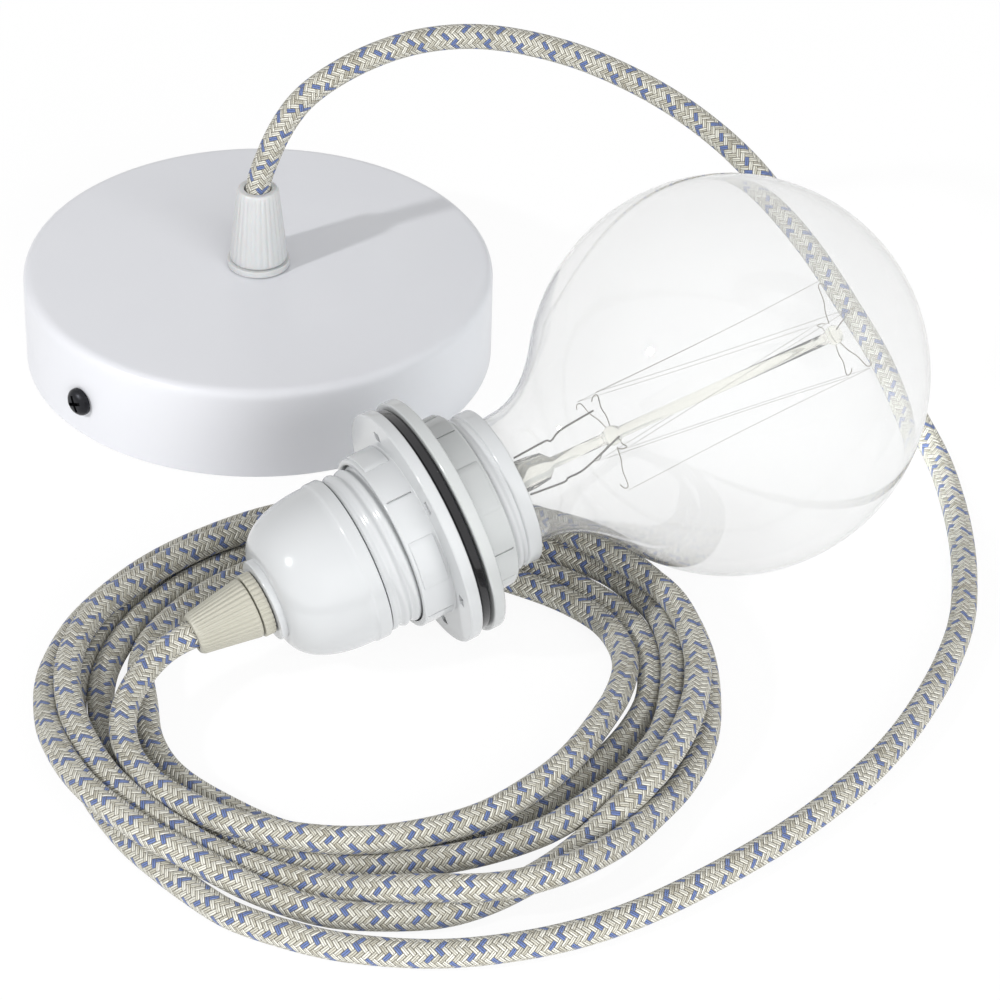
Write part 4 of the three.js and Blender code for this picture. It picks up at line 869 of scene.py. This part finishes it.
def makeMount():
    b = bulb
    at = lambda z: z - lampLie["pivot"]
    up, low, pinch, top = b["upperButton"], b["lowerButton"], b["pinch"], b["capTop"]
    wide, rod, squeezed, flare = b["button"], b["rod"], b["pinchRadius"], b["flare"]

    def button(z):
        return [(rod, z - 2.2), (wide * 0.8, z - 1.5), (wide, z - 0.5), (wide, z + 0.5), (wide * 0.8, z + 1.5),
                (rod, z + 2.2)]

    raw = [(0, up - 2), (wide * 0.8, up - 1.4), *button(up)[2:], *button(low), (rod, pinch - 6),
           (squeezed * 0.85, pinch - 4), (squeezed, pinch), (squeezed, pinch + 3.4), (flare * 0.5, top - 4.4),
           (flare * 0.72, top - 1.2), (flare, top + 1), (flare, top + 2.5), (0, top + 1)]
    turn = math.radians(b["hookTurn"])

    def flattened(radius, z, angle):  # the pinch is squeezed flat across the wires
        share = max(0.0, 1 - abs(z - at(pinch)) / 5)
        return radius * (1 - 0.45 * min(1, 1.4 * share) * abs(math.sin(angle - turn)))

    standFor(newPiece("stem_glass", *turned([(r, at(z)) for r, z in raw], 48, flattened), stemGlass, mountPlace, 60),
             "glass", "bulb_stem")
    leadOut, leadEnd = at(pinch + 2), at(low + 0.6)
    for name, (side, reach, swing) in b["leads"].items():
        start, angle, last = squeezed + 0.65, turn + side, turn + side + swing
        points = [polar(start, angle, leadOut), polar(start + 0.3, angle, leadOut - 4),
                  polar(start + 0.6, angle, leadOut - 9), polar(start + 0.1, angle, leadOut - 10.2),
                  polar((start + reach) / 2, (angle + last) / 2, (leadOut + leadEnd) / 2 - 2),
                  polar(reach, last, leadEnd)]
        line, _ = smoothLine(np.array(points), 0.8)
        standFor(newPiece(name + "_drawn", *tubeAlong(line, b["leadRadius"], 8), finishes["lead"], mountPlace),
                 "lead_wire", name)
    start, reach = wide + 0.55, b["hookReach"]
    for name, place, outward, first in (("lower", low, 1, turn), ("upper", up, -1, turn - math.pi / b["hooks"])):
        z = at(place)
        points = [(start, 0, z), (start + 3, 0, z + outward * 0.4), (reach * 0.7, 0, z + outward * 1.2),
                  (reach, 0, z + outward * 1.5), (reach + 0.2, 0, z + outward * 2.6),
                  (reach - 1, 0, z + outward * 3.2)]
        line, _ = smoothLine(np.array(points), 0.5)
        part = bare(name, *tubeAlong(line, b["hookWire"], 8))
        applied(part, "copies", count=b["hooks"], firstAngle=first, material=finishes["molybdenum"])
        standFor(finishedPiece(part, name + "_hooks", finishes["molybdenum"], mountPlace), "lead_wire",
                 *[f"{name}_hook_{i + 1}" for i in range(b["hooks"])])
    points = []
    for i in range(b["hooks"]):
        angle = turn + i * 2 * math.pi / b["hooks"]
        points += [polar(b["filamentReach"], angle, at(low) + b["filamentLift"]),
                   polar(b["filamentReach"], angle + math.pi / b["hooks"], at(up) - b["filamentLift"])]
    line = []
    for first, second in zip(points, points[1:]):
        first, second = Vector(first), Vector(second)
        for k in range(20):  # each span is bowed in a little by its own weight
            t = k / 20
            p = first.lerp(second, t)
            bow = 1 - b["filamentSag"] * math.sin(math.pi * t)
            line.append((p.x * bow, p.y * bow, p.z))
    line.append(points[-1])
    filament = newPiece("filament_coiled", *tubeAlong(np.array(line), b["filament"], 6), finishes["tungsten"],
                        mountPlace, 80)
    standFor(filament, "tungsten", "filament")


makeBulb()
print("bulb made")

# Table and light
studio = {
    "floor": "#f8f8f8", "floorShare": 0.9, "background": 1.0, "around": 0.49, "aim": (0.06, -0.1, 0.02),
    # place, side of the square, power, and if it is mirrored: a small key from the left,
    # and a broad low fill from the front
    "lamps": {"key": ((-1.12, -0.83, 0.92), 0.09, 12.2, True), "fill": ((0.7, -1.35, 0.28), 1.4, 30.0, False)},
}


def lookedAt(tree):
    # 1 where the camera sees it straight, in a mirror or through glass
    path = addNode(tree, "ShaderNodeLightPath")
    rays = [path.outputs[f"Is {kind} Ray"] for kind in ("Camera", "Glossy", "Transmission")]
    either = addNode(tree, "ShaderNodeMath", {0: rays[0], 1: rays[1]}, operation="MAXIMUM")
    return addNode(tree, "ShaderNodeMath", {0: either, 1: rays[2]}, operation="MAXIMUM")


def makeStudio():
    floor = bpy.data.meshes.new("table")
    floor.from_pydata([(-4, -4, -0.0003), (4, -4, -0.0003), (4, 6, -0.0003), (-4, 6, -0.0003)], [], [(0, 1, 2, 3)])
    material, tree, shader = newFinish("pale table top", {"Base Color": linear(studio["floor"]), "Roughness": 0.6})
    share = addNode(tree, "ShaderNodeMath", {0: lookedAt(tree), 1: studio["floorShare"]}, operation="MULTIPLY")
    white = addNode(tree, "ShaderNodeEmission", {"Color": linear("#ffffff"), "Strength": 1.02})
    final = addNode(tree, "ShaderNodeMixShader", {0: share, 1: shader, 2: white})
    tree.links.new(final.outputs[0], tree.nodes["Material Output"].inputs["Surface"])
    floor.materials.append(material)
    table = bpy.data.objects.new("table", floor)
    sceneObjects.link(table)
    world = bpy.data.worlds.new("studio")
    bpy.context.scene.world = world
    world.use_nodes = True
    tree = world.node_tree
    back = tree.nodes["Background"]
    strength = addNode(tree, "ShaderNodeMix", {0: lookedAt(tree), 2: studio["around"], 3: studio["background"]})
    back.inputs["Color"].default_value = linear("#ffffff")
    tree.links.new(strength.outputs[0], back.inputs["Strength"])
    for name, (place, size, power, mirrored) in studio["lamps"].items():
        light = bpy.data.lights.new(name, "AREA")
        light.shape, light.size, light.energy = "SQUARE", size, power
        lamp = bpy.data.objects.new(name, light)
        lamp.visible_glossy = lamp.visible_transmission = mirrored
        sceneObjects.link(lamp)
        place, aim = Vector(place), Vector(studio["aim"])
        lamp.matrix_world = Matrix.Translation(place) @ (aim - place).to_track_quat("-Z", "Y").to_matrix().to_4x4()
    bpy.context.scene.view_settings.view_transform = "Standard"


makeStudio()
print("studio made")
